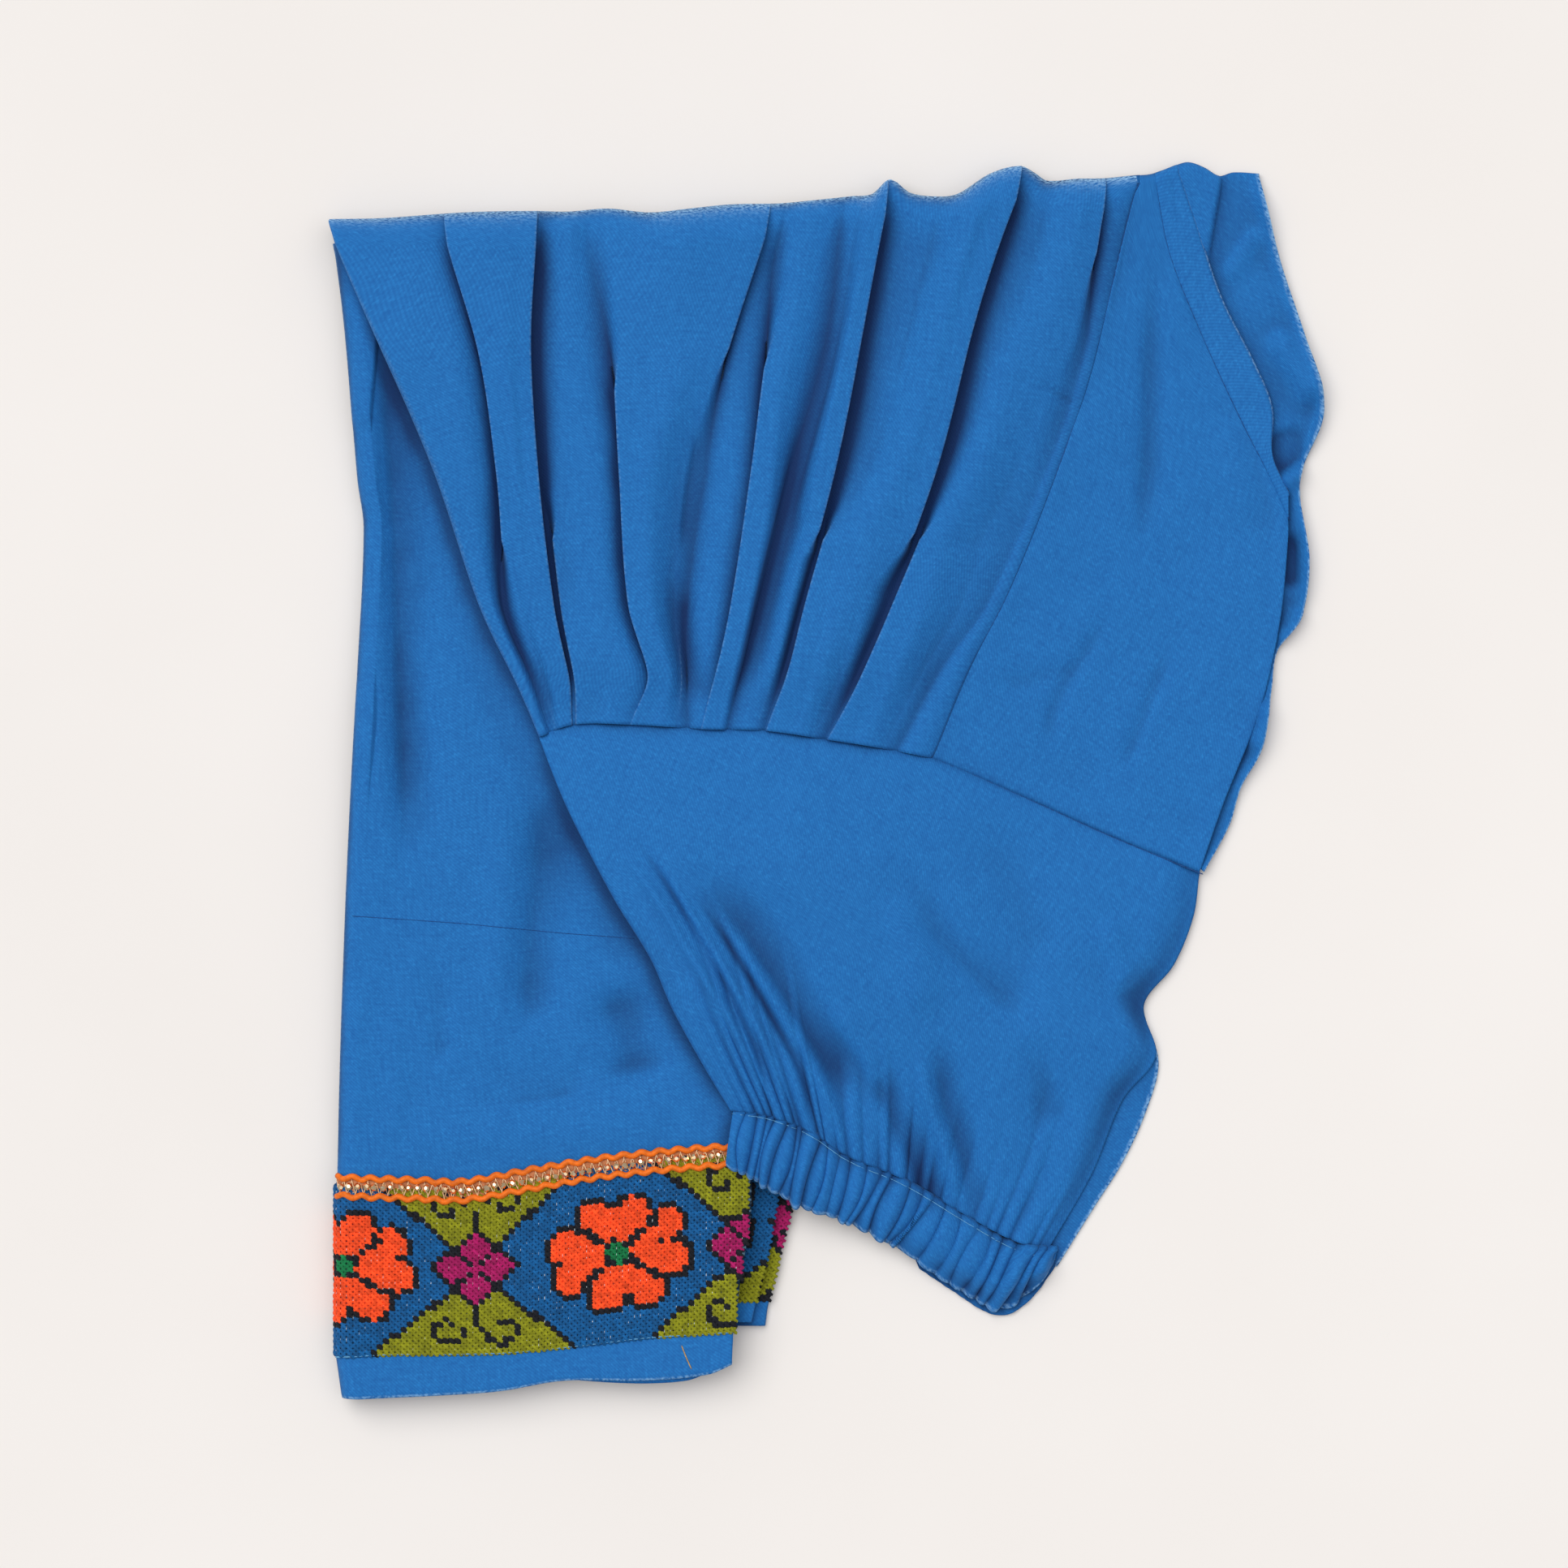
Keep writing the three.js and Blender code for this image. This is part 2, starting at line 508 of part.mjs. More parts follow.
// The sleeve's gathers: folds that grow from the armhole to the cuff, uneven in width
const sleeveWave = (u, v) => {
  const warped = u + 0.012 * Math.sin(9 * u + 2 * v) + 0.006 * Math.sin(23 * u);
  const height = mix(0.3, 1.3, ease(0.05, 0.75, v)) * (0.75 + 0.25 * Math.sin(11 * u + 1.3));
  return height * Math.cos(2 * Math.PI * SLEEVE_GATHERS * warped);
};
const sleeveRoll = (v) => SLEEVE_ROLL * Math.max(0.1, Math.sin(Math.PI * clamp(v)) ** 0.5);
const sleeveHeight = (x, y, u, v) => {
  const inner = Math.sin(Math.PI * clamp(v)) ** 0.7;
  const across = Math.sin(Math.PI * clamp(0.06 + 0.94 * u)) ** 0.6;
  const edge = (1 - Math.cos(ROLL_END)) * sleeveRoll(v) * (1 - ease(0, 0.3, u));
  const gathers = sleeveWave(u, v) * ease(-0.02, 0.1, u);
  const high = bed(x, y) + UPPER_LAYER + SLEEVE_LIFT + edge + SLEEVE_PUFF * inner * across + gathers;
  return mix(high, ON_BACK, ease(0.94, 1, u));
};

function sleeveFront() {
  const head = curve([...ARMHOLE_PLEATED, ...ARMHOLE_PLAIN.slice(1)], 0, -ARMHOLE_GAP);
  const foot = curve(CUFF_STITCH, 0, SEAM_GAP);
  const side = reversed(curve(SLEEVE_LEFT));
  const left = (v) => {
    const share = (side(v).y - side(0).y) / (side(1).y - side(0).y);
    return { x: side(v).x + sleeveRoll(v), y: mix(foot(0).y, head(0).y, share) };
  };
  const right = reversed(curve(SLEEVE_RIGHT));
  const plan = patch(foot, head, left, right);
  const height = (x, y, u, v) => sleeveHeight(x, y, u, 1 - v);
  return wall(lay(plan, height, 60, 9, sleeveRoll), CLOTH);
}

const cuffHeight = (x, y, u, v) => {
  const crown = CUFF_CROWN * Math.sin(Math.PI * v);
  const warped = u ** 1.15 + 0.006 * Math.sin(21 * u);
  const depth = CUFF_RUCHE * (0.6 + 0.4 * Math.sin(Math.PI * v));
  const wave = depth * Math.cos(2 * Math.PI * CUFF_GATHERS * warped);
  const high = bed(x, y) + UPPER_LAYER + CUFF_LIFT + crown + wave;
  const onBack = CASING * 1.5 + SEAM_GAP + CUFF_RUCHE * CUFF_SETTLE + wave;
  return mix(high, onBack, (1 - ease(0, 0.4, v)) * ease(0.5, 0.75, u));
};

function cuffFront() {
  const head = curve(CUFF_STITCH);
  const foot = curve(CUFF_EDGE);
  const plan = (u, v) => ruled(foot, head)(v, u);
  return wall(lay(plan, cuffHeight, 76, 4), CASING);
}

function cuffBack() {
  const right = curve(CUFF_BACK_EDGE);
  const left = curve(CUFF_BACK_EDGE, CUFF_BACK_DEPTH.x, CUFF_BACK_DEPTH.y);
  const grid = lay(ruled(left, right), () => CASING / 2, 2, 8);
  return wall(grid.map((row) => row.reverse()).reverse(), CASING);
}

// The hidden folds of the skirt and the bunched cloth in the sleeve, one rounded solid with layered sides
function skirtFolds() {
  const mound = (x, y) => {
    const m = SLEEVE_MOUND;
    return m.height * Math.max(0, 1 - ((x - m.x) / m.halfX) ** 2 - ((y - m.y) / m.halfY) ** 2);
  };
  const sides = [
    curve(HEM_FOOT.slice(0, 7), 1.6, 2), curve([[FOLDS_RIGHT, -190], [FOLDS_RIGHT, -134]]),
    curve([[FOLDS_RIGHT + 2, -130], [-20, -130]]), curve(CUFF_EDGE.slice(2, 9), -2, 8.5),
    reversed(curve(SLEEVE_RIGHT.slice(1, 7), -11, 2)), curve(FRONT_EDGE.slice(1), -12, 0),
    curve(NECK_STITCH.slice(1), -9, -6), reversed(curve(TOP_EDGE, 1, -3.2)), curve(SKIRT_LEFT.slice(1, 11), 2.6, 0),
  ];
  const rough = sides.flatMap((side) => [0.06, 0.2, 0.35, 0.5, 0.65, 0.8, 0.94].map((t) => side(t)));
  rough.push(rough[0]);
  const line = curve(rough.map((p) => [p.x, p.y]));
  const outline = Array.from({ length: CORE_POINTS }, (_, i) => {
    const t = i / CORE_POINTS;
    const p = line(t);
    const q = line((t + 0.002) % 1);
    const o = line((t + 0.998) % 1);
    const length = Math.hypot(q.x - o.x, q.y - o.y);
    return { x: p.x, y: p.y, inX: -(q.y - o.y) / length, inY: (q.x - o.x) / length };
  });
  const top = (x, y) => bed(x, y) - CORE_CLEARANCE + mound(x, y);
  const rings = LAYERED_SIDE.map(([share, inset]) => outline.map((p) => {
    const x = p.x + p.inX * inset;
    const y = p.y + p.inY * inset;
    return new THREE.Vector3(x, y, share * top(x, y));
  }));
  const rim = rings[rings.length - 1];
  CORE_RINGS.forEach((share) => rings.push(rim.map((p) => {
    const x = mix(CORE_MIDDLE.x, p.x, share);
    const y = mix(CORE_MIDDLE.y, p.y, share);
    return new THREE.Vector3(x, y, top(x, y));
  })));
  const positions = [];
  const face = (...points) => points.forEach((p) => positions.push(p.x, p.y, p.z));
  const next = (j) => (j + 1) % CORE_POINTS;
  for (let i = 0; i < rings.length - 1; i += 1) {
    for (let j = 0; j < CORE_POINTS; j += 1) {
      face(rings[i][j], rings[i][next(j)], rings[i + 1][next(j)]);
      face(rings[i][j], rings[i + 1][next(j)], rings[i + 1][j]);
    }
  }
  const crown = new THREE.Vector3(CORE_MIDDLE.x, CORE_MIDDLE.y, top(CORE_MIDDLE.x, CORE_MIDDLE.y));
  const base = new THREE.Vector3(CORE_MIDDLE.x, CORE_MIDDLE.y, 0);
  for (let j = 0; j < CORE_POINTS; j += 1) {
    face(rings[rings.length - 1][j], rings[rings.length - 1][next(j)], crown);
    face(rings[0][next(j)], rings[0][j], base);
  }
  return solid(positions);
}

const COTTON = { color: 0x2272be, roughness: 0.85, metalness: 0 };
const CANVAS_CLOTH = { color: 0x14507f, roughness: 0.95, metalness: 0 };
const BRAID_CORD = { color: 0xe0701c, roughness: 0.7, metalness: 0 };

const frock = new THREE.Group();
const add = (name, geometry, finish) => {
  const mesh = new THREE.Mesh(geometry, new THREE.MeshStandardMaterial(finish));
  mesh.name = name;
  frock.add(mesh);
};
add("skirt_folds", skirtFolds(), COTTON);
add("skirt_panel", skirtPanel(), COTTON);
add("stitch_band", stitchBand(), CANVAS_CLOTH);
add("hem_band", hemBand(), COTTON);
add("braid", braid(), BRAID_CORD);
add("upper_fold_edge", foldEdge(UPPER_FOLD_EDGE, FOLD_SLAB + SEAM_GAP), CANVAS_CLOTH);
add("lower_fold_edge", foldEdge(LOWER_FOLD_EDGE, 0), CANVAS_CLOTH);
add("skirt_front", skirtFront(), COTTON);
add("bodice_front", bodiceFront(), COTTON);
add("neck_facing", neckFacing(), COTTON);
add("bodice_back", bodiceBack(), COTTON);
add("sleeve_front", sleeveFront(), COTTON);
add("sleeve_back", sleeveBack(), COTTON);
add("cuff_front", cuffFront(), COTTON);
add("cuff_back", cuffBack(), COTTON);
frock.position.set(-CENTRE.x, -CENTRE.y, 0);

export default frock;
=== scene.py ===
# The looks of a woman's cotton frock that is folded for storage and lies flat on a table.
# Tables are in millimetres on the table, +X to the right and +Y to the top fold; meshes are in metres.
import math

import bpy
import numpy as np
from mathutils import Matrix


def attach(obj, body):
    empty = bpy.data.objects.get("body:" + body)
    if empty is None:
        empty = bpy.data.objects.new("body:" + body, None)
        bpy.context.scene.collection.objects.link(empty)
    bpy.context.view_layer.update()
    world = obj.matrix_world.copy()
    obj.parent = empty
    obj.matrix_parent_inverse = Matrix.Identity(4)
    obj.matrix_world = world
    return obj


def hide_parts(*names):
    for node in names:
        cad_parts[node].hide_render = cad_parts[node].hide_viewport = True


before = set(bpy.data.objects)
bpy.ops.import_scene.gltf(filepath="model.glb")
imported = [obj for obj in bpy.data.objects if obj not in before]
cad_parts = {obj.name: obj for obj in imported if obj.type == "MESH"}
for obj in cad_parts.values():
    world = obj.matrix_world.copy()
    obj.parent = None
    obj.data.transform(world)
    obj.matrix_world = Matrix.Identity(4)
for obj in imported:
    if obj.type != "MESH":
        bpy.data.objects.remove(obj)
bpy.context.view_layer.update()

# Hidden folds of the skirt
# The rest of the skirt, the body's back and the second sleeve, folded in soft layers of the same cotton.
# They carry everything else, and only their rounded edges show at the sides.
CENTRE = (0.053, -0.132)
MM = 0.001
CLOTH = 0.7
WARP_PITCH = 0.85
SLUB = 1.1
STACK_HIGH, STACK_LOW = 12.5, 2.4
UPPER_LAYER = 1.5
ON_BACK = 1.8
SLOPE = [
    (-205, -30, 30), (-160, -30, 35), (-130, -38, 45), (-60, -40, 75), (10, -25, 105),
    (100, 20, 130), (200, 40, 135),
]
HEM_FOOT = [
    (-160, -206), (-151, -205.5), (-129.5, -204.5), (-108.5, -203), (-87, -199.5), (-60.5, -199.5),
    (-39.5, -197.5), (-31, -194),
]
CUFF_EDGE = [
    (-33.5, -128.5), (-24.5, -132.5), (-12, -140.5), (4.5, -146.5), (24, -156.5), (37.5, -166),
    (49.5, -173.5), (58.5, -177), (66.5, -173), (76, -161),
]
SLEEVE_RIGHT = [
    (124.5, -32), (122.5, -46), (116, -62), (106, -75.5), (110, -92.5), (99, -107), (88.5, -132), (74, -157),
]
FRONT_EDGE = [
    (124.5, -31), (132.5, -8), (142, 15.5), (146.5, 29.5), (151.5, 54), (154, 81), (154, 87),
]
NECK_STITCH = [(154, 87), (149, 98.5), (138, 120), (124, 150.5), (114, 176), (109.5, 199)]
TOP_EDGE = [
    (-164.5, 184), (-110, 185.5), (-70, 187), (-29, 188), (0, 189.5), (25, 192), (60, 196), (107, 199.5),
]
SKIRT_LEFT = [
    (-164, 178), (-163, 173), (-160, 148.5), (-156, 100), (-154, 83.5), (-156, 35), (-159, -21.5),
    (-161.5, -86.5), (-162.5, -129.5), (-163, -162), (-162.5, -192), (-160, -206),
]
# Creases: height, reach on the right hand and on the left hand of the line's way, line
PANEL_CREASES = [
    (-3.4, 7, 12, [(-91.9, 0), (-94.6, -24.3), (-96.8, -52.9), (-98.1, -75.6), (-99, -89.1)]),
    (-3.6, 9, 10, [(-73.1, -66.9), (-65.7, -85.1), (-62.2, -102.6)]),
    (-0.5, 1.2, 1.6, [(-127.8, -105.3), (-113, -106.9), (-95.4, -105.8), (-77.9, -102.6)]),
    (0.7, 4, 4, [(-143.5, -75.6), (-143.2, -99.9), (-143, -121.5)]),
    (-0.9, 5, 5, [(-128.9, -59.4), (-128.4, -81), (-127.6, -97.2)]),
    (0.6, 6, 6, [(-107.1, 16.2), (-108.1, -32.4), (-109.8, -89.1)]),
    (-0.9, 7, 7, [(-123.8, -95), (-99.5, -100.4), (-75.2, -98.6), (-48.2, -101.2)]),
    (1.2, 7, 7, [(-156.2, -114.8), (-123.8, -118.8), (-86, -116.1), (-42.8, -112.1)]),
    (-4.6, 5, 12, [(-147.5, 165), (-145, 120), (-143, 80), (-141.5, 40), (-140, 0), (-139, -40)]),
    (-2.8, 14, 12, [(-146, 130), (-134, 90), (-120, 50), (-104, 12), (-88, -22),
                    (-72, -55), (-58, -84), (-47, -104)]),
]
CORE_MIDDLE = (-50, 0)
CORE_POINTS = 420
CORE_CLEARANCE = 1.3
SLEEVE_MOUND = (22, -60, 62, 62, 1.0)
LAYERS = 7
LAYER_INSET = (1.9, 0.7, 0.5, 1.3, 0.5, 0.9, 2.2)


def mix(a, b, t):
    return a + (b - a) * t


def ease(a, b, t):
    k = np.clip((t - a) / (b - a), 0, 1)
    return k * k * (3 - 2 * k)


def graph(stations, values):
    """A smooth line through values at rising stations."""
    s, v = np.array(stations, float), np.array(values, float)
    last = len(s) - 1
    low, high = np.maximum(np.arange(last + 1) - 1, 0), np.minimum(np.arange(last + 1) + 1, last)
    run = s[high] - s[low]
    slope = (v[high] - v[low]) / (run if v.ndim == 1 else run[:, None])

    def at(x):
        x = np.clip(np.asarray(x, float), s[0], s[-1])
        i = np.clip(np.searchsorted(s, x, side="right") - 1, 0, last - 1)
        h = s[i + 1] - s[i]
        k = (x - s[i]) / h
        if v.ndim > 1:
            h, k = h[..., None], k[..., None]
        start = v[i] * (2 * k**3 - 3 * k**2 + 1) + slope[i] * h * (k**3 - 2 * k**2 + k)
        return start + v[i + 1] * (3 * k**2 - 2 * k**3) + slope[i + 1] * h * (k**3 - k**2)

    return at


def columns(table, key, value):
    return graph([row[key] for row in table], [row[value] for row in table])


def curve(points, dx=0.0, dy=0.0):
    """A smooth line through points, by its share of length."""
    p = np.array(points, float) + (dx, dy)
    run = np.concatenate([[0], np.cumsum(np.hypot(*np.diff(p, axis=0).T))])
    line = graph(run, p)
    return lambda t: line(np.asarray(t, float) * run[-1])


def reversed_line(line):
    return lambda t: line(1 - np.asarray(t, float))


slope_high, slope_low = columns(SLOPE, 0, 1), columns(SLOPE, 0, 2)


def bed(x, y):
    """Height of the middle of the skirt's top layer."""
    return mix(STACK_HIGH, STACK_LOW, ease(slope_high(y), slope_low(y), x))


def creased(x, y, table):
    """Height that the listed creases add at points."""
    lift = np.zeros(np.shape(x))
    for height, right_reach, left_reach, points in table:
        line = curve(points)(np.linspace(0, 1, 25))
        near, side, share = np.full(lift.shape, 1e9), np.ones(lift.shape), np.zeros(lift.shape)
        for k, ((ax, ay), (bx, by)) in enumerate(zip(line[:-1], line[1:])):
            dx, dy = bx - ax, by - ay
            t = np.clip(((x - ax) * dx + (y - ay) * dy) / (dx * dx + dy * dy), 0, 1)
            ex, ey = x - ax - t * dx, y - ay - t * dy
            away = np.hypot(ex, ey)
            nearer = away < near
            near = np.where(nearer, away, near)
            side = np.where(nearer, np.sign(dx * ey - dy * ex), side)
            share = np.where(nearer, (k + t) / 24, share)
        reach = np.where(side > 0, left_reach, right_reach)
        fade = ease(0, 0.3, share) * ease(1, 0.75, share)
        lift += height * fade * np.exp(-((near / reach) ** 2))
    return lift


def drift(x, y, size, seed):
    """Slow uneven rises and falls between about -1 and 1, of that size across."""
    draw = np.random.default_rng(seed)
    total = np.zeros(np.shape(x))
    for _ in range(8):
        way, phase, pace = draw.uniform(0, math.tau), draw.uniform(0, math.tau), draw.uniform(0.6, 1.5)
        total += np.sin((x * math.cos(way) + y * math.sin(way)) * math.tau * pace / size + phase)
    return total / 4


def linear(code):
    """An sRGB hex colour in linear light."""
    parts = [int(code[i : i + 2], 16) / 255 for i in (1, 3, 5)]
    return [p / 12.92 if p <= 0.04045 else ((p + 0.055) / 1.055) ** 2.4 for p in parts] + [1.0]


def node(tree, kind, sockets=(), **settings):
    """Adds a node with its settings; a socket's value is a number, a colour or another node's output."""
    made = tree.nodes.new(kind)
    for key, value in settings.items():
        setattr(made, key, value)
    for key, value in dict(sockets).items():
        if isinstance(value, bpy.types.NodeSocket):
            tree.links.new(value, made.inputs[key])
        else:
            made.inputs[key].default_value = value
    return made


def blank_material(name):
    material = bpy.data.materials.new(name)
    material.use_nodes = True
    material.node_tree.nodes.clear()
    return material, material.node_tree


def woven_cotton(name, deep, plain, lit, fibre):
    """Matt, fine twill cotton in one plain dye; its pale fold edges are partly rubbed nap, partly painted
    highlight.
    The real twill line is about 0.4 mm; it is drawn at twice that, because one pixel shows 0.5 mm."""
    material, tree = blank_material(name)
    place = node(tree, "ShaderNodeUVMap", uv_map="weave").outputs[0]
    twill_scale, slubs = math.tau / (10 * math.sqrt(2) * WARP_PITCH * MM), 1 / (SLUB * MM)
    diagonal = node(tree, "ShaderNodeTexWave", {"Vector": place, "Scale": twill_scale, "Distortion": 0.6,
                    "Detail": 2, "Detail Scale": 3.0}, bands_direction="DIAGONAL")
    long = node(tree, "ShaderNodeMapping", {"Vector": place, "Scale": (slubs, 0.12 * slubs, 1)})
    slub = node(tree, "ShaderNodeTexNoise", {"Vector": long.outputs[0], "Scale": 1.0, "Detail": 3})
    cross = node(tree, "ShaderNodeMapping", {"Vector": place, "Scale": (0.15 * slubs, slubs, 1)})
    weft = node(tree, "ShaderNodeTexNoise", {"Vector": cross.outputs[0], "Scale": 1.0, "Detail": 3})
    grit = node(tree, "ShaderNodeTexNoise", {"Vector": place, "Scale": 900, "Detail": 1})
    streaks = node(tree, "ShaderNodeMath", {0: slub.outputs[0], 1: weft.outputs[0]}, operation="ADD")
    tone = node(tree, "ShaderNodeMath", {0: streaks.outputs[0], 1: grit.outputs[0]}, operation="ADD")
    shade = node(tree, "ShaderNodeMapRange", {"Value": tone.outputs[0], "From Min": 0.95, "From Max": 2.05})
    base = node(tree, "ShaderNodeMix", {"Factor": shade.outputs[0], 6: linear(deep), 7: linear(lit)},
                data_type="RGBA")
    body = node(tree, "ShaderNodeMix", {"Factor": 0.35, 6: base.outputs[2], 7: linear(plain)},
                data_type="RGBA")
    line = node(tree, "ShaderNodeMapRange", {"Value": diagonal.outputs[1], "To Min": 0.0, "To Max": 0.38})
    lined = node(tree, "ShaderNodeMix", {"Factor": line.outputs[0], 6: body.outputs[2], 7: linear(deep)},
                 data_type="RGBA")
    fleck = node(tree, "ShaderNodeMapRange", {"Value": grit.outputs[0], "From Min": 0.62, "From Max": 0.72,
                 "To Max": 0.35})
    flecked = node(tree, "ShaderNodeMix", {"Factor": fleck.outputs[0], 6: lined.outputs[2], 7: linear(lit)},
                   data_type="RGBA")
    # Painted shade: a deep navy mixed in where the cloth lies below the cloth around it.
    painted_fold_shade = node(tree, "ShaderNodeAttribute", attribute_name="painted_fold_shade").outputs["Fac"]
    fold_shaded = node(tree, "ShaderNodeMix", {"Factor": painted_fold_shade, 6: flecked.outputs[2], 7: linear("#082253")},
                data_type="RGBA")
    # Pale fold edges: partly rubbed nap, partly a painted highlight of fibres catching the light.
    wear = node(tree, "ShaderNodeAttribute", attribute_name="wear").outputs["Fac"]
    ragged = node(tree, "ShaderNodeMapRange", {"Value": grit.outputs[0], "From Min": 0.35, "From Max": 0.65})
    fuzz = node(tree, "ShaderNodeMath", {0: wear, 1: ragged.outputs[0]}, operation="MULTIPLY")
    worn_and_lit = node(tree, "ShaderNodeMix", {"Factor": fuzz.outputs[0], 6: fold_shaded.outputs[2], 7: linear(fibre)},
                data_type="RGBA")
    weave = node(tree, "ShaderNodeMath", {0: diagonal.outputs[1], 1: grit.outputs[0]}, operation="ADD")
    bump = node(tree, "ShaderNodeBump", {"Height": weave.outputs[0], "Strength": 0.35, "Distance": 0.12 * MM})
    skin = node(tree, "ShaderNodeBsdfPrincipled", {"Base Color": worn_and_lit.outputs[2], "Roughness": 0.82,
                "Specular IOR Level": 0.25, "Sheen Weight": 0.12, "Sheen Roughness": 0.45,
                "Sheen Tint": linear(fibre), "Normal": bump.outputs[0]})
    node(tree, "ShaderNodeOutputMaterial", {"Surface": skin.outputs[0]})
    return material


def mesh_object(name, points, faces, material, uv=None, **marks):
    """A mesh from table millimetres; marks are numbers or colours, one for each point."""
    data = bpy.data.meshes.new(name)
    placed = (np.asarray(points, float) - (*CENTRE, 0)) * MM
    data.from_pydata(placed.tolist(), [], faces if isinstance(faces, list) else faces.tolist())
    if uv is not None:
        corner = np.empty(len(data.loops), np.int32)
        data.loops.foreach_get("vertex_index", corner)
        data.uv_layers.new(name="weave").data.foreach_set("uv", (np.asarray(uv) * MM)[corner].ravel())
    for key, values in marks.items():
        values = np.asarray(values, float)
        kind, slot = ("FLOAT", "value") if values.ndim == 1 else ("FLOAT_COLOR", "color")
        if values.ndim == 2 and values.shape[1] == 3:
            kind, slot = "FLOAT_VECTOR", "vector"
        data.attributes.new(key, kind, "POINT").data.foreach_set(slot, values.ravel())
    if len(data.polygons):
        data.shade_smooth()
    piece = bpy.data.objects.new(name, data)
    bpy.context.scene.collection.objects.link(piece)
    if material:
        data.materials.append(material)
    return piece


cotton = woven_cotton("cotton_twill_dyed", "#1459A1", "#1B6FB9", "#2985D0", "#9CCBF2")
skirt_sides = [
    curve(HEM_FOOT[:7], 1.6, 2), curve([(-37.5, -190), (-37.5, -134)]), curve([(-35.5, -130), (-20, -130)]),
    curve(CUFF_EDGE[2:9], -2, 8.5), reversed_line(curve(SLEEVE_RIGHT[1:7], -11, 2)),
    curve(FRONT_EDGE[1:], -12, 0),
    curve(NECK_STITCH[1:], -9, -6), reversed_line(curve(TOP_EDGE, 1, -3.2)), curve(SKIRT_LEFT[1:11], 2.6, 0),
]
rough = np.concatenate([side(np.array([0.06, 0.2, 0.35, 0.5, 0.65, 0.8, 0.94])) for side in skirt_sides])
outline = curve(np.vstack([rough, rough[:1]]))
share = np.arange(CORE_POINTS) / CORE_POINTS
edge = outline(share)
way = outline((share + 0.002) % 1) - outline((share + 0.998) % 1)
way /= np.hypot(*way.T)[:, None]
inwards = np.stack([-way[:, 1], way[:, 0]], 1)


def fold_top(x, y):
    mx, my, half_x, half_y, height = SLEEVE_MOUND
    mound = height * np.maximum(0, 1 - ((x - mx) / half_x) ** 2 - ((y - my) / half_y) ** 2)
    return bed(x, y) - CORE_CLEARANCE + mound + np.minimum(0, creased(x, y, PANEL_CREASES))


rings = [np.column_stack([edge + inwards * 2.4, np.zeros(CORE_POINTS)])]
for layer in range(LAYERS):
    uneven = 0.35 * drift(edge[:, 0], edge[:, 1], 70, 20 + layer)
    for height in (0.04, 0.2, 0.5, 0.8, 0.96):
        tuck = LAYER_INSET[layer] + 0.9 * (1 - math.sin(math.pi * height)) + uneven
        spot = edge + inwards * tuck[:, None]
        level = (layer + height) / LAYERS * fold_top(*spot.T)
        rings.append(np.column_stack([spot, level]))
rim = rings[-1]
for inner in np.linspace(0.97, 0.03, 26):
    spot = mix(np.array(CORE_MIDDLE), rim[:, :2], inner)
    rings.append(np.column_stack([spot, fold_top(*spot.T)]))
points = np.concatenate(rings + [[(*CORE_MIDDLE, 0)], [(*CORE_MIDDLE, float(fold_top(*CORE_MIDDLE)))]])
faces = []
for i in range(len(rings) - 1):
    for j in range(CORE_POINTS):
        a, b = i * CORE_POINTS + j, i * CORE_POINTS + (j + 1) % CORE_POINTS
        faces.append((a, b, b + CORE_POINTS, a + CORE_POINTS))
base, crown = len(points) - 2, len(points) - 1
for j in range(CORE_POINTS):
    k = (j + 1) % CORE_POINTS
    faces.append((k, j, base))
    faces.append(((len(rings) - 1) * CORE_POINTS + j, (len(rings) - 1) * CORE_POINTS + k, crown))
around = np.tile(share * 1100, len(rings))
ring_run = np.repeat(np.arange(len(rings)) * 1.1, CORE_POINTS)
uv = np.vstack([np.column_stack([around, ring_run]), [(0, 0)], [(0, 0)]])
skirt_folds = mesh_object("skirt_folds_cloth", points, faces, cotton, uv)
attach(skirt_folds, "root")
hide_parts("skirt_folds")

# Skirt column
# One length of the skirt, folded to a narrow column, with a soft rolled fold along its left side.
# Two more fold edges lie just inside that side, and old needle holes show where a hem was let down.
COLUMN_ROLL = 6.0
COLUMN_LEFT = -157.0
ROLL_END = math.radians(118)
SEAM_GAP = 0.08
SKIRT_RIGHT = [
    (-140, 176), (-126, 145), (-108, 101), (-94, 58), (-76, 15), (-62, -40),
    (-41, -85), (-28, -112), (-25, -124.5),
]
BRAID_LINE = [
    (-163, -135), (-151, -135.5), (-135, -136), (-121, -136.5), (-97.5, -132.5), (-76.5, -129),
    (-55, -126.5), (-36, -125), (-24.5, -124.5),
]
FOLD_LEDGE = [
    (-31.6, -155.4), (-4.9, -152.7), (21.6, -150.3), (43.2, -151.1), (77.2, -150.5),
    (108, -149.2), (150, -146),
]
OUTER_LEDGE = [(80, -154.6), (86.4, -154), (107.5, -152.4), (128.5, -150.8), (160, -148.0)]


def patch(foot, head, left, right):
    """A plan between four lines: foot and head run left to right, left and right run foot to head."""
    def plan(u, v):
        f, h, l, r = foot(u), head(u), left(v), right(v)
        u, v = u[..., None], v[..., None]
        low, high = mix(foot(0.0), foot(1.0), u), mix(head(0.0), head(1.0), u)
        return mix(f, h, v) + mix(l, r, u) - mix(low, high, v)
    return plan


def straight(a, b):
    return lambda t: mix(np.asarray(a, float), np.asarray(b, float), np.asarray(t, float)[..., None])


def seam(height_at, from_x, to_x, shift):
    """A seam that follows a line of heights from one x to another."""
    def line(u):
        x = mix(from_x, to_x, np.asarray(u, float))
        return np.stack([x, height_at(x) + shift], -1)
    return line


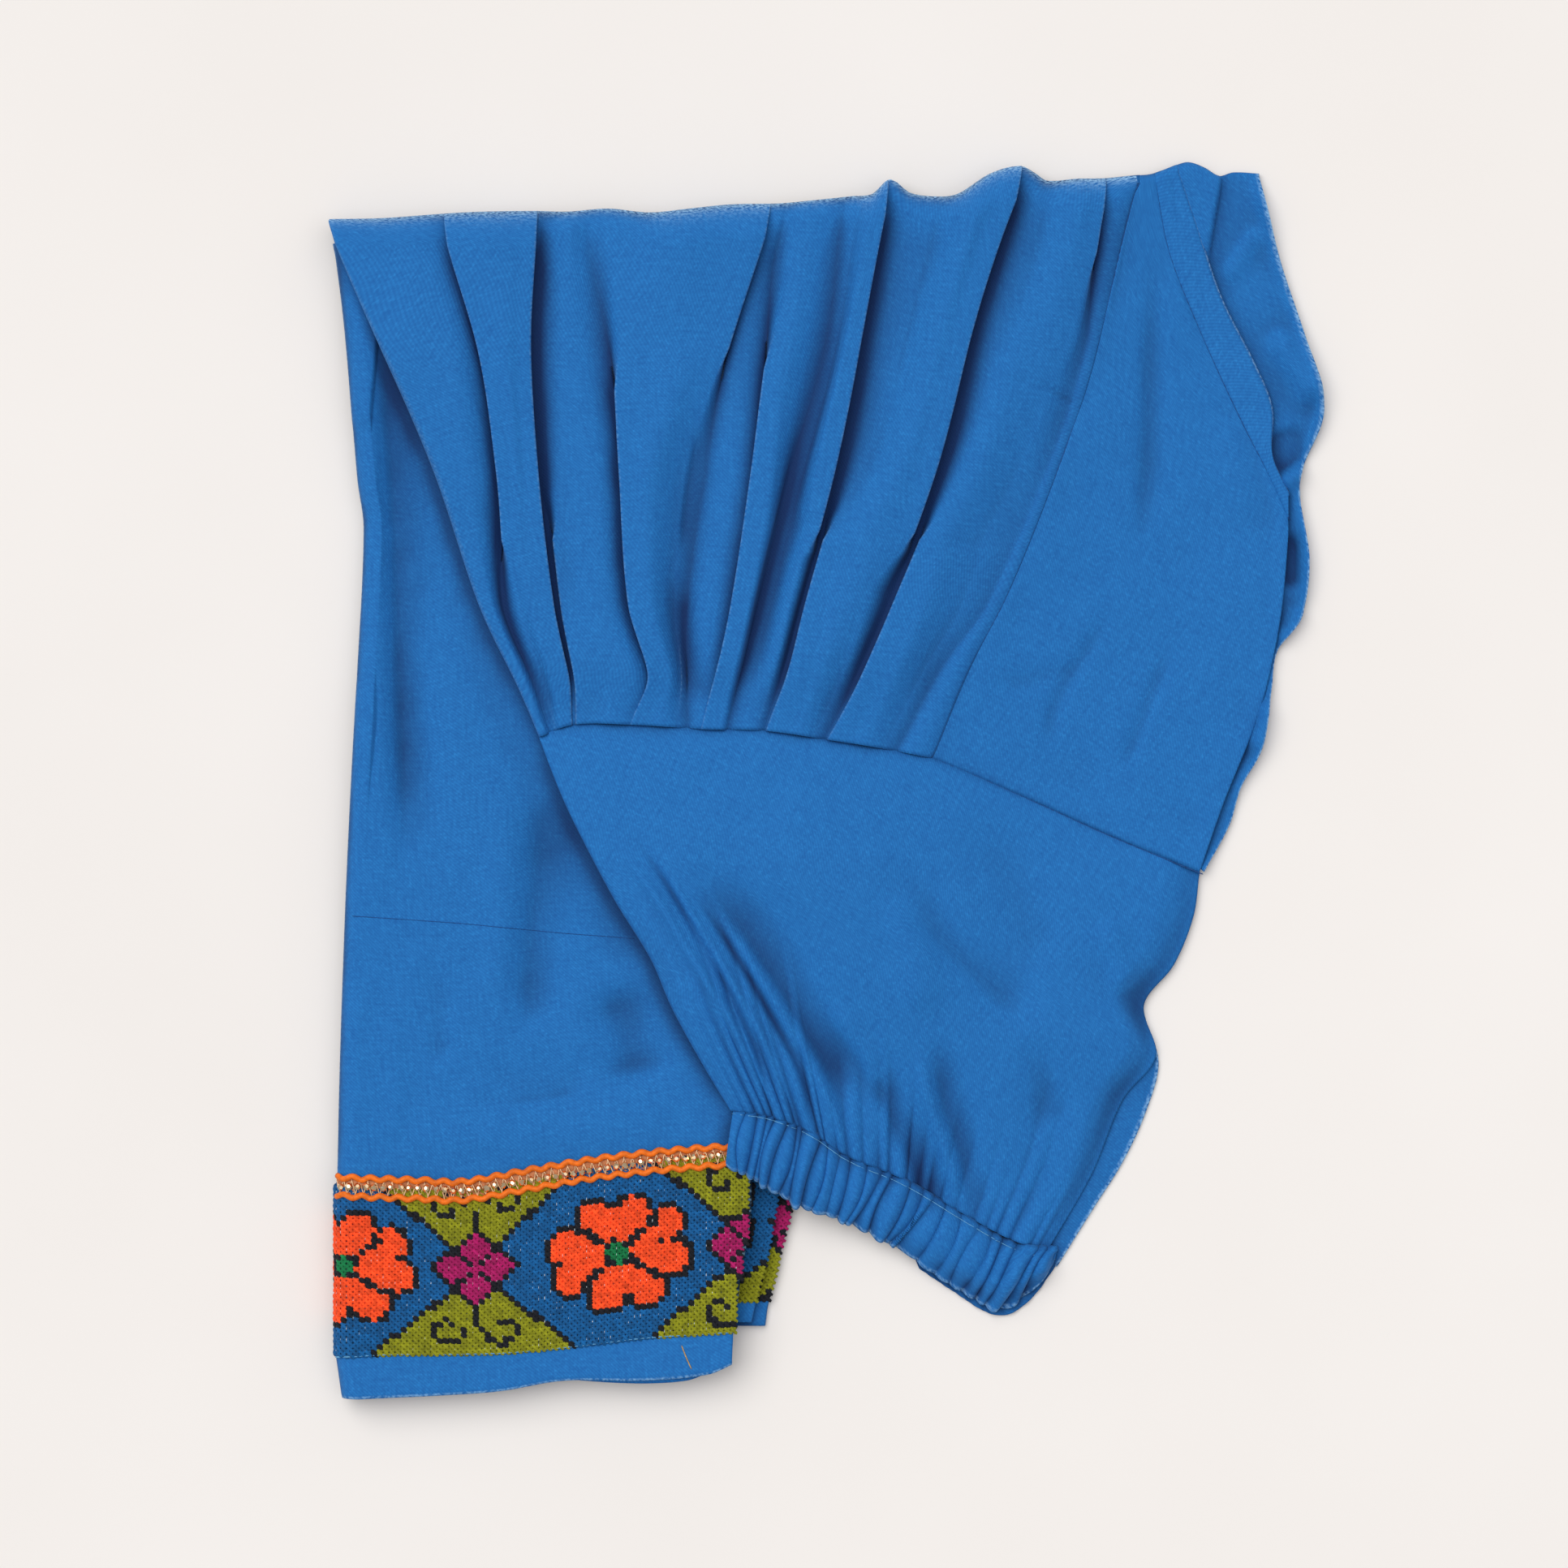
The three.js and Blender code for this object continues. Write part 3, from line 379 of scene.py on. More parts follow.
def lay(plan, height, us, vs, left_roll=None):
    """Rows of points over a plan, with its left edge rolled down by the radius that left_roll gives."""
    u, v = np.meshgrid(us, vs)
    p = plan(u, v)
    z = height(p[..., 0], p[..., 1], u, v)
    grid = np.concatenate([p, z[..., None]], -1)
    if left_roll is None:
        return grid
    radius = left_roll(np.asarray(vs, float))[:, None]
    angle = ROLL_END * np.linspace(1, 0.08, 11)[None, :]
    rolled = np.repeat(grid[:, :1], angle.shape[1], 1)
    rolled[..., 0] -= radius * np.sin(angle)
    rolled[..., 2] += radius * (np.cos(angle) - 1)
    return np.concatenate([rolled, grid], 1)


def cloth(name, grid, thickness=CLOTH, wear=None, material=cotton, turned=0.0):
    """A thin closed wall about a grid of points, with its weave laid along the cloth.
    No point lies below the table."""
    rows, wide = grid.shape[:2]
    up, along = np.gradient(grid, axis=0), np.gradient(grid, axis=1)
    normal = np.cross(along, up)
    normal /= np.linalg.norm(normal, axis=-1, keepdims=True) + 1e-9
    points = np.concatenate([(grid + normal * thickness / 2).reshape(-1, 3),
                             (grid - normal * thickness / 2).reshape(-1, 3)])
    points[:, 2] = np.maximum(points[:, 2], 0)
    index = np.arange(rows * wide).reshape(rows, wide)
    a, b, c, d = index[:-1, :-1], index[:-1, 1:], index[1:, 1:], index[1:, :-1]
    top = np.stack([a, b, c, d], -1).reshape(-1, 4)
    under = rows * wide
    rim = np.concatenate([index[0, :-1], index[:-1, -1], index[-1, :0:-1], index[:0:-1, 0]])
    ahead = np.roll(rim, -1)
    side = np.stack([rim + under, ahead + under, ahead, rim], -1)
    faces = np.concatenate([top, top[:, ::-1] + under, side])
    step_u = np.linalg.norm(np.diff(grid, axis=1), axis=-1)
    step_v = np.linalg.norm(np.diff(grid, axis=0), axis=-1)
    run_u = np.concatenate([np.zeros((rows, 1)), np.cumsum(step_u, 1)], 1)
    run_v = np.concatenate([np.zeros((1, wide)), np.cumsum(step_v, 0)], 0)
    run_u -= run_u[:, wide // 2 : wide // 2 + 1]
    cos, sin = math.cos(turned), math.sin(turned)
    uv = np.stack([run_u * cos - run_v * sin, run_u * sin + run_v * cos], -1).reshape(-1, 2)
    worn_and_lit = np.zeros((rows, wide)) if wear is None else np.broadcast_to(wear, (rows, wide))
    return mesh_object(name, points, faces, material, np.vstack([uv, uv]), wear=np.tile(worn_and_lit.ravel(), 2))


def worn_and_lit_edge(count, reach):
    """Pale nap on the last columns of a grid, partly rubbed and partly a painted highlight."""
    worn_and_lit = np.zeros(count)
    worn_and_lit[-reach:] = np.linspace(0, 0.9, reach)
    return worn_and_lit


braid_y = columns(BRAID_LINE, 0, 1)
ledge_x, outer_ledge_x = columns(FOLD_LEDGE, 0, 1), columns(OUTER_LEDGE, 0, 1)


def column_roll(v):
    return np.full(np.shape(v), COLUMN_ROLL)


def panel_height(x, y, u=None, v=None):
    ledge = 1.3 * (1 - ease(-0.6, 1.2, x - ledge_x(y))) * ease(-34, 10, y) * ease(110, 60, y)
    outer = 1.5 * (1 - ease(-0.3, 0.5, x - outer_ledge_x(y))) * ease(78, 92, y)
    soft = 0.5 * drift(x, y * 0.6, 60, 3) + 0.12 * drift(x, y, 17, 4)
    return bed(x, y) + ledge + outer + soft + creased(x, y, PANEL_CREASES)


panel_side = curve(SKIRT_LEFT, COLUMN_ROLL)
panel_right = reversed_line(curve(SKIRT_RIGHT))
panel_foot = seam(braid_y, COLUMN_LEFT, panel_right(0)[0], SEAM_GAP / 2)


def panel_left(v):
    v = np.asarray(v, float)
    return np.where((v == 0)[..., None], panel_foot(0.0), panel_side(mix(0.81, 0, v)))


panel_plan = patch(panel_foot, straight(panel_left(1.0), panel_right(1.0)), panel_left, panel_right)
panel_us = np.linspace(0, 1, 118) ** 1.5
panel_grid = lay(panel_plan, panel_height, panel_us, np.linspace(0, 1, 150), column_roll)
# Pale nap on the rolled fold: partly rubbed, partly a painted highlight.
panel_wear = np.zeros(panel_grid.shape[1])
panel_wear[1:5] = (0.3, 0.8, 0.8, 0.3)
skirt_panel = cloth("skirt_panel_cloth", panel_grid, wear=panel_wear)
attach(skirt_panel, "root")
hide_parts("skirt_panel")

# Stitched band
# A strip of open canvas worked all over in counted cross stitch, two strands to a cross, and sewn below the
# braid. Its flowers, lozenges and scrolled corners are a common folk border, charted here by rule.
CANVAS = 1.0
STITCH = 1.984
STITCH_ROWS = 30
REPEAT = 46
FLOWER_COLUMN = 44.2
BAND_FOOT = [(-162.5, -192), (-145.5, -191), (-108.5, -190.5), (-81.5, -188), (-60.5, -185.5), (-30, -183.5)]
BAND_RIGHT = [(-24.5, -124.5), (-24.5, -140.5), (-25, -148), (-28, -165), (-30, -183.5)]
YARN = {"ground": "#0A5A96", "outline": "#15171F", "petal": "#FF5220", "leaf": "#0A7A45", "rose": "#A8145F",
        "olive": "#8A8C14"}
PETAL_LOBES = [(-3.9, 6.1, 2.7), (2.6, 6.6, 2.7), (8.0, 4.1, 2.6), (9.2, -1.6, 2.7), (4.9, -6.6, 2.7),
               (-1.7, -7.0, 2.6), (-7.6, -3.4, 2.6), (-8.8, 1.8, 2.6)]
PETAL_GAPS = (143, 38.6, -33.5, -136.6)
# In stitches: the flower's row and the rise of a row, the lozenge, the olive corner's half width where it
# starts, its start and its spread, the scroll's middle and radius, and its degrees a stitch of winding
FLOWER_ROW, ROW_RISE = 15.9, 0.016
LOZENGE_WIDE, LOZENGE_HIGH = 7.0, 6.3
CORNER_WIDE, CORNER_START, CORNER_SPREAD = 3.6, 4.4, 1.17
SCROLL_X, SCROLL_Y, SCROLL_RADIUS, SCROLL_WINDING = 4.7, 11.0, 3.2, 150

band_foot_y = columns(BAND_FOOT, 0, 1)
band_foot = seam(band_foot_y, COLUMN_LEFT, -31, SEAM_GAP / 2)
band_head = seam(braid_y, COLUMN_LEFT, -25, -SEAM_GAP / 2)
band_edge = reversed_line(curve(BAND_RIGHT, -0.5))


def band_right(v):
    v = np.asarray(v, float)
    return np.stack([band_edge(v)[..., 0], mix(band_foot(1.0)[1], band_head(1.0)[1], v)], -1)


band_plan = patch(band_foot, band_head, straight(band_foot(0.0), band_head(0.0)), band_right)


def band_height(x, y, u=None, v=None):
    return bed(x, y) + 0.2 + 0.12 * drift(x, y, 40, 6)


def petal_colour(x, y):
    """The flower's colours by counted stitches from its middle."""
    if abs(x) + abs(y) < 2.1:
        return "leaf"
    if abs(x) + abs(y) < 3.1 and min(abs(x), abs(y)) > 0.4:
        return "outline"
    away = math.hypot(x, y)
    for gap in PETAL_GAPS:
        gx, gy = math.cos(math.radians(gap)), math.sin(math.radians(gap))
        if x * gx + y * gy > 0 and abs(x * gy - y * gx) < 0.58 and away < 8.4:
            return "outline"
    lobe = min(math.hypot(x - px, y - py) - r for px, py, r in PETAL_LOBES)
    if lobe <= 0.1 or away < 7.4:
        return "petal"
    return "outline" if lobe < 1.05 else None


def chart(column, row):
    """The yarn of one cross, counted from the left fold and from the band's foot."""
    x = (column - FLOWER_COLUMN + REPEAT / 2) % REPEAT - REPEAT / 2
    y = row - FLOWER_ROW + ROW_RISE * column
    flower = petal_colour(x, y)
    if flower:
        return flower
    x = (column - FLOWER_COLUMN + 0.8) % REPEAT - REPEAT / 2
    across, up = abs(x) / LOZENGE_WIDE, abs(y) / LOZENGE_HIGH
    lozenge = across + up
    if lozenge <= 1.0:
        return "outline" if abs(across - up) < 0.09 and lozenge > 0.2 else "rose"
    if lozenge <= 1.16:
        return "outline"
    depth = abs(y) - CORNER_START
    side = abs(x) - CORNER_WIDE - CORNER_SPREAD * depth
    if depth > -0.5 and side < 0:
        dx, dy = abs(x) - SCROLL_X, abs(y) - SCROLL_Y
        wound, away = (180 - math.degrees(math.atan2(dy, dx))) % 360, math.hypot(dx, dy)
        spiral = abs(away - (SCROLL_RADIUS - wound / SCROLL_WINDING)) < 0.5
        stem = abs(x) < 0.6 and abs(y) < 10.8
        return "outline" if spiral or stem else "olive"
    return "outline" if depth > -0.9 and side < 1.25 else "ground"


def tube(line, radius, sides, closed_ends=True):
    """Points and faces of a round tube along a line; radius may change along it."""
    line = np.asarray(line, float)
    way = np.gradient(line, axis=0)
    way /= np.linalg.norm(way, axis=1, keepdims=True)
    across = np.cross(way, (0, 0, 1.0))
    across /= np.linalg.norm(across, axis=1, keepdims=True) + 1e-9
    upward = np.cross(across, way)
    angle = np.linspace(0, math.tau, sides, endpoint=False)
    radius = np.broadcast_to(radius, len(line))[:, None, None]
    ring = across[:, None] * np.cos(angle)[None, :, None] + upward[:, None] * np.sin(angle)[None, :, None]
    points = (line[:, None] + ring * radius).reshape(-1, 3)
    faces = []
    for i in range(len(line) - 1):
        for j in range(sides):
            k = (j + 1) % sides
            faces.append((i * sides + j, (i + 1) * sides + j, (i + 1) * sides + k, i * sides + k))
    if closed_ends:
        faces.append(tuple(range(sides)))
        faces.append(tuple(range((len(line) - 1) * sides + sides - 1, (len(line) - 1) * sides - 1, -1)))
    return points, faces


def joined(parts):
    points, faces, count = [], [], 0
    for p, f in parts:
        points.append(p)
        faces += [tuple(i + count for i in face) for face in f]
        count += len(p)
    return np.concatenate(points), faces


def shape(name, parts, smooth=True):
    """A small shape one unit across, for placing many times."""
    points, faces = joined(parts)
    data = bpy.data.meshes.new(name)
    data.from_pydata(points.tolist(), [], faces)
    if smooth:
        data.shade_smooth()
    made = bpy.data.objects.new(name, data)
    bpy.context.scene.collection.objects.link(made)
    return made


def placing_tree():
    """Sets one small shape on every point, turned by the point's own up and way, and a little uneven."""
    tree = bpy.data.node_groups.new("place_on_cloth", "GeometryNodeTree")
    sockets = [("Geometry", "NodeSocketGeometry"), ("Shape", "NodeSocketObject"),
               ("Length", "NodeSocketFloat"), ("Width", "NodeSocketFloat"),
               ("Height", "NodeSocketFloat"), ("Unevenness", "NodeSocketFloat"),
               ("Material", "NodeSocketMaterial")]
    for key, kind in sockets:
        tree.interface.new_socket(key, in_out="INPUT", socket_type=kind)
    tree.interface.new_socket("Geometry", in_out="OUTPUT", socket_type="NodeSocketGeometry")
    start = node(tree, "NodeGroupInput").outputs
    shown = node(tree, "GeometryNodeObjectInfo", {"Object": start["Shape"]}).outputs["Geometry"]
    up = node(tree, "GeometryNodeInputNamedAttribute", {"Name": "up"}, data_type="FLOAT_VECTOR").outputs[0]
    way = node(tree, "GeometryNodeInputNamedAttribute", {"Name": "way"}, data_type="FLOAT_VECTOR").outputs[0]
    turn = node(tree, "FunctionNodeAxesToRotation", {"Primary Axis": up, "Secondary Axis": way},
                primary_axis="Z", secondary_axis="X").outputs[0]
    size = node(tree, "ShaderNodeCombineXYZ", {0: start["Length"], 1: start["Width"],
                2: start["Height"]}).outputs[0]
    low = node(tree, "ShaderNodeMath", {0: 1.0, 1: start["Unevenness"]}, operation="SUBTRACT").outputs[0]
    high = node(tree, "ShaderNodeMath", {0: 1.0, 1: start["Unevenness"]}, operation="ADD").outputs[0]
    draw = node(tree, "FunctionNodeRandomValue", data_type="FLOAT_VECTOR")
    draw.inputs["Seed"].default_value = 11
    tree.links.new(low, draw.inputs["Min"])
    tree.links.new(high, draw.inputs["Max"])
    scale = node(tree, "ShaderNodeVectorMath", {0: size, 1: draw.outputs["Value"]},
                 operation="MULTIPLY").outputs[0]
    many = node(tree, "GeometryNodeInstanceOnPoints", {"Points": start["Geometry"], "Instance": shown,
                "Rotation": turn, "Scale": scale}).outputs[0]
    real = node(tree, "GeometryNodeRealizeInstances", {"Geometry": many}).outputs[0]
    finished = node(tree, "GeometryNodeSetMaterial", {"Geometry": real,
                    "Material": start["Material"]}).outputs[0]
    node(tree, "NodeGroupOutput", {"Geometry": finished})
    return tree


placing = placing_tree()


def place(name, spots, up, way, small_shape, size, material, unevenness=0.08, smooth=True, **marks):
    """Places a small shape on spots by the tree above and returns one plain mesh; size is in millimetres."""
    seed = mesh_object(name + "_spots", spots, [], None, up=up, way=way, **marks)
    live = seed.modifiers.new("place", "NODES")
    live.node_group = placing
    values = {"Shape": small_shape, "Length": size[0] * MM, "Width": size[1] * MM, "Height": size[2] * MM,
              "Unevenness": unevenness, "Material": material}
    for item in placing.interface.items_tree:
        if item.in_out == "INPUT" and item.name in values:
            live[item.identifier] = values[item.name]
    seed.update_tag()
    evaluated = seed.evaluated_get(bpy.context.evaluated_depsgraph_get())
    data = bpy.data.meshes.new_from_object(evaluated)
    data.name = name
    for key in ("up", "way"):
        if key in data.attributes:
            data.attributes.remove(data.attributes[key])
    bpy.data.objects.remove(seed)
    piece = bpy.data.objects.new(name, data)
    bpy.context.scene.collection.objects.link(piece)
    if smooth:
        data.shade_smooth()
    return piece


def yarn_material(name, roughness, twist, plain=None, metallic=0.0):
    """Spun cotton yarn, two plies: each strand has slanting ply lines and a soft sheen.
    Its colour comes from the stitch that it is part of, or is one dye all over."""
    material, tree = blank_material(name)
    place_at = node(tree, "ShaderNodeTexCoord").outputs["Object"]
    if plain:
        dye = node(tree, "ShaderNodeRGB")
        dye.outputs[0].default_value = linear(plain)
    else:
        dye = node(tree, "ShaderNodeAttribute", attribute_name="tint")
    ply = node(tree, "ShaderNodeTexWave", {"Vector": place_at, "Scale": math.tau / (20 * twist * MM),
               "Distortion": 3.0, "Detail": 1}, bands_direction="DIAGONAL")
    grain = node(tree, "ShaderNodeTexNoise", {"Vector": place_at, "Scale": 700, "Detail": 2})
    shade = node(tree, "ShaderNodeMapRange", {"Value": grain.outputs[0], "From Min": 0.3, "From Max": 0.7,
                 "To Min": 0.75, "To Max": 1.18})
    tone = node(tree, "ShaderNodeVectorMath", {0: dye.outputs[0]}, operation="SCALE")
    tree.links.new(shade.outputs[0], tone.inputs["Scale"])
    bump = node(tree, "ShaderNodeBump", {"Height": ply.outputs[1], "Strength": 0.4, "Distance": 0.1 * MM})
    skin = node(tree, "ShaderNodeBsdfPrincipled", {"Base Color": tone.outputs[0], "Roughness": roughness,
                "Specular IOR Level": 0.25, "Metallic": metallic, "Sheen Weight": 0.03,
                "Normal": bump.outputs[0]})
    node(tree, "ShaderNodeOutputMaterial", {"Surface": skin.outputs[0]})
    return material


def canvas_material():
    """Open cotton canvas under the stitches: pale threads in both ways, seen only as specks in the holes."""
    material, tree = blank_material("canvas_open_weave")
    place_at = node(tree, "ShaderNodeUVMap", uv_map="weave").outputs[0]
    grain = node(tree, "ShaderNodeTexNoise", {"Vector": place_at, "Scale": 620, "Detail": 2})
    speck = node(tree, "ShaderNodeMapRange", {"Value": grain.outputs[0], "From Min": 0.5, "From Max": 0.62})
    base = node(tree, "ShaderNodeMix", {"Factor": speck.outputs[0], 6: linear("#0C2238"),
                7: linear("#5E7C92")}, data_type="RGBA")
    warp = node(tree, "ShaderNodeTexWave", {"Vector": place_at, "Scale": math.tau / (20 * 0.66 * MM)})
    bump = node(tree, "ShaderNodeBump", {"Height": warp.outputs[1], "Strength": 0.4, "Distance": 0.15 * MM})
    skin = node(tree, "ShaderNodeBsdfPrincipled", {"Base Color": base.outputs[2], "Roughness": 0.9,
                "Specular IOR Level": 0.2, "Normal": bump.outputs[0]})
    node(tree, "ShaderNodeOutputMaterial", {"Surface": skin.outputs[0]})
    return material


canvas = canvas_material()
band_grid = lay(band_plan, band_height, np.linspace(0, 1, 90), np.linspace(0, 1, 40), column_roll)
stitch_band = cloth("stitch_band_canvas", band_grid, CANVAS, material=canvas)
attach(stitch_band, "root")
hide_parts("stitch_band")


def band_spot(along, v):
    """A point on the band and the directions up and right there; along is negative on the rolled side."""
    span = band_right(v)[..., 0] - COLUMN_LEFT
    flat = np.maximum(along, 0)
    p = band_plan(flat / span, v)
    z = band_height(p[..., 0], p[..., 1])
    angle = np.maximum(-along, 0) / COLUMN_ROLL
    spot = np.stack([p[..., 0] - COLUMN_ROLL * np.sin(angle), p[..., 1],
                     z + COLUMN_ROLL * (np.cos(angle) - 1)], -1)
    up = np.stack([-np.sin(angle), np.zeros_like(angle), np.cos(angle)], -1)
    right = np.stack([np.cos(angle), np.zeros_like(angle), np.sin(angle)], -1)
    return spot + up * CANVAS / 2, up, right


arch = [(-0.5, 0.0), (-0.3, 0.45), (0.0, 0.62), (0.3, 0.45), (0.5, 0.0)]
leg = [[(d * 1.06, d * 1.06, h - 0.12) for d, h in arch], [(d * 1.06, -d * 1.06, h) for d, h in arch]]
cross_stitch = shape("cross_stitch", [tube(line, 0.32, 5, closed_ends=False) for line in leg])
cross_yarn = yarn_material("cotton_yarn_crossed", 0.75, 0.5)
across_count = int((band_right(0.5)[0] - COLUMN_LEFT) / STITCH)
wanted = [(c, r) for c in range(-6, across_count + 2) for r in range(STITCH_ROWS)]
count = np.array(wanted, float)
along = (count[:, 0] + 0.5) * STITCH
v = (count[:, 1] + 0.5) / STITCH_ROWS
inside = along < band_right(v)[..., 0] - COLUMN_LEFT - 0.4
count, along, v = count[inside], along[inside], v[inside]
spots, ups, rights = band_spot(along, v)
tints = np.array([linear(YARN[chart(c + 0.5, r + 0.5)]) for c, r in count])
shade_draw = np.random.default_rng(5).uniform(0.82, 1.15, (len(tints), 1))
tints[:, :3] *= shade_draw
cross_stitches = place("cross_stitches", spots, ups, rights, cross_stitch, (STITCH, STITCH * 0.985, 0.95),
                       cross_yarn, 0.1, tint=tints)
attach(cross_stitches, "root")

speck = shape("canvas_speck", [tube([(-0.5, 0, 0), (0, 0, 0.35), (0.5, 0, 0)], 0.3, 4)])
speck_draw = np.random.default_rng(14)
bare = speck_draw.random(len(count)) < 0.22
corner_spots, corner_ups, corner_rights = band_spot(along[bare] - STITCH / 2, v[bare] + 0.5 / STITCH_ROWS)
canvas_thread = yarn_material("canvas_thread_bare", 0.8, 0.5, "#D5DDE0")
canvas_specks = place("canvas_specks", corner_spots + corner_ups * 0.42, corner_ups,
                      np.cross(corner_ups, corner_rights), speck, (0.85, 0.42, 0.42), canvas_thread, 0.3)
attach(canvas_specks, "root")

# Plain hem below the band
# A strip of the frock's own cotton, turned up inside and sewn to the canvas with light blue stitches.
HEM = 0.8
hem_foot_y = columns(HEM_FOOT, 0, 1)
hem_foot = seam(hem_foot_y, COLUMN_LEFT + 2, -31.5, 0)
hem_head = seam(band_foot_y, COLUMN_LEFT, -31, -SEAM_GAP / 2)
hem_plan = patch(hem_foot, hem_head, straight(hem_foot(0.0), hem_head(0.0)),
                 straight(hem_foot(1.0), hem_head(1.0)))


def hem_height(x, y, u, v):
    droop = 0.5 * np.exp(-((hem_foot_y(x) - y) / 0.9) ** 2)
    return bed(x, y) + 0.1 + 0.1 * drift(x, y, 22, 8) - droop


hem_grid = lay(hem_plan, hem_height, np.linspace(0, 1, 120), np.linspace(0, 1, 26), column_roll)
# Pale foot edge: partly rubbed nap, partly a painted highlight.
hem_wear = np.zeros(hem_grid.shape[:2])
hem_wear[:2] = 0.5
hem_band = cloth("hem_band_cloth", hem_grid, HEM, wear=hem_wear)
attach(hem_band, "root")
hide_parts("hem_band")

HEM_BACK = [(-82, -199.6), (-70, -200.4), (-58, -200.6), (-46, -199.6), (-40.5, -197.6)]


def hem_back_height(x, y, u, v):
    return bed(x, y) - 1.3


hem_back = cloth("hem_back_layer", lay(patch(curve(HEM_BACK), straight((-82, -193), (-40.5, -193)),
                 straight(HEM_BACK[0], (-82, -193)), straight(HEM_BACK[-1], (-40.5, -193))), hem_back_height,
                 np.linspace(0, 1, 40), np.linspace(0, 1, 8)))
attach(hem_back, "root")

# Folded edges at the lower right
# Two more folds of the skirt's foot, each two layers pressed together, that step out past the top one.
# Each carries the stitched band and, below it, the plain hem.
FOLD_LEFT = -37.2
FOLD_HEM_Y = -174.0
UPPER_FOLD_EDGE = [(-15.4, -131), (-16, -138.5), (-16.5, -141), (-18.2, -151),
                   (-19.8, -160), (-22, -168), (-25, -181)]
LOWER_FOLD_EDGE = [(-10.6, -132.5), (-11, -139.5), (-11.5, -143), (-14.7, -155.5),
                   (-17.6, -168), (-19.5, -176), (-20.4, -182.5)]
FOLD_WALL = 0.8
FOLD_GAP = 0.3


def folded_edge(line, low, from_y, to_y, rows):
    """Rows of points over one folded edge, from its lower layer round the fold to its upper one."""
    ys = np.linspace(to_y, from_y, rows)
    edge_points = curve(line)(np.linspace(0, 1, 80))
    right = np.interp(-ys, -edge_points[:, 1], edge_points[:, 0])
    radius = (2.6 - FOLD_WALL) / 2
    shares = np.linspace(0, 1, 9)[:-1]
    rows_made = []
    for y, x in zip(ys, right):
        turn = x - radius - FOLD_WALL / 2
        lower = [(mix(FOLD_LEFT, turn, s), y, low + FOLD_WALL / 2) for s in shares]
        bend = [(turn + radius * math.sin(a), y, low + FOLD_WALL / 2 + radius * (1 - math.cos(a)))
                for a in np.linspace(0, math.pi, 9)]
        upper = [(mix(turn, FOLD_LEFT, s), y, low + FOLD_WALL / 2 + 2 * radius) for s in (*shares[1:], 1.0)]
        rows_made.append(lower + bend + upper)
    return np.array(rows_made)


for fold_name, line, low, node_name in (("upper", UPPER_FOLD_EDGE, 2.9, "upper_fold_edge"),
                                        ("lower", LOWER_FOLD_EDGE, 0.0, "lower_fold_edge")):
    canvas_rows = folded_edge(line, low, line[0][1], FOLD_HEM_Y + FOLD_GAP / 2, 28)[:, ::-1]
    hem_rows = folded_edge(line, low, FOLD_HEM_Y - FOLD_GAP / 2, line[-1][1], 10)[:, ::-1]
    canvas_part = cloth(f"{fold_name}_fold_canvas", canvas_rows, FOLD_WALL, material=canvas)
    hem_part = cloth(f"{fold_name}_fold_hem", hem_rows, FOLD_WALL)
    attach(canvas_part, "root")
    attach(hem_part, "root")
    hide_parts(node_name)
    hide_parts(node_name)
    edge_points = curve(line)(np.linspace(0, 1, 80))
    fold_spots, fold_tints = [], []
    for r in range(21):
        y = FOLD_HEM_Y + (r + 0.5) * STITCH
        right = float(np.interp(-y, -edge_points[:, 1], edge_points[:, 0])) - 1.0
        for c in range(9):
            x = right - c * STITCH
            shift = 15 if fold_name == "upper" else 20
            fold_spots.append((x, y, low + 2.6))
            fold_tints.append(linear(YARN[chart(shift - c + FLOWER_COLUMN, r + 2)]))
    fold_spots = np.array(fold_spots)
    flat_up = np.tile((0.0, 0.0, 1.0), (len(fold_spots), 1))
    flat_way = np.tile((1.0, 0.0, 0.0), (len(fold_spots), 1))
    crosses = place(f"{fold_name}_fold_stitches", fold_spots, flat_up, flat_way, cross_stitch,
                    (STITCH, STITCH, 0.95), cross_yarn, 0.1, tint=np.array(fold_tints))
    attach(crosses, "root")

# Braid
# Two wavy orange cords held apart by crossing gold threads, with a row of faceted gilt beads between them.
# It is sewn over the seam of skirt and band and rolls over the left side with them.
SCALLOP = 6.1
CORD = 1.0
CORD_APART = 3.05
CORD_WAVE = 0.55
BEAD_PITCH = 2.9
THREAD_PITCH = 1.35
braid_line = curve(BRAID_LINE)
BRAID_LENGTH = 140.2
BRAID_SEWN = 133.5


def braid_spot(run, side, lift):
    """A point on the braid by its run from the left, its distance across and its lift."""
    run, side = np.asarray(run, float), np.asarray(side, float)
    t = np.clip(run / BRAID_LENGTH, 0, 1)
    p, q = braid_line(t), braid_line(np.clip(t + 0.01, 0, 1)) - braid_line(np.clip(t - 0.01, 0, 1))
    q /= np.linalg.norm(q, axis=-1, keepdims=True)
    x = p[..., 0] - q[..., 1] * side
    y = p[..., 1] + q[..., 0] * side
    past = np.minimum(0, x - COLUMN_LEFT)
    drop = COLUMN_ROLL + 0.6 - np.sqrt(np.maximum(0.5, (COLUMN_ROLL + 0.6) ** 2 - past**2))
    return np.stack([x, y, bed(x, y) + 0.2 + CANVAS / 2 + 0.35 - drop + lift], -1)


runs = np.arange(0.4, BRAID_SEWN, 0.45)
braid_parts = []
for side in (-1, 1):
    wave = side * (CORD_APART + CORD_WAVE * np.cos(math.tau * runs / SCALLOP + (0.4 if side > 0 else 0.0)))
    braid_parts.append(tube(braid_spot(runs, wave, 0.55), CORD, 10))
cord_yarn = yarn_material("rayon_cord_orange", 0.5, 0.8, "#F07214")
points, faces = joined(braid_parts)
braid_cords = mesh_object("braid_cords", points, faces, cord_yarn)
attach(braid_cords, "root")
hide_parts("braid")

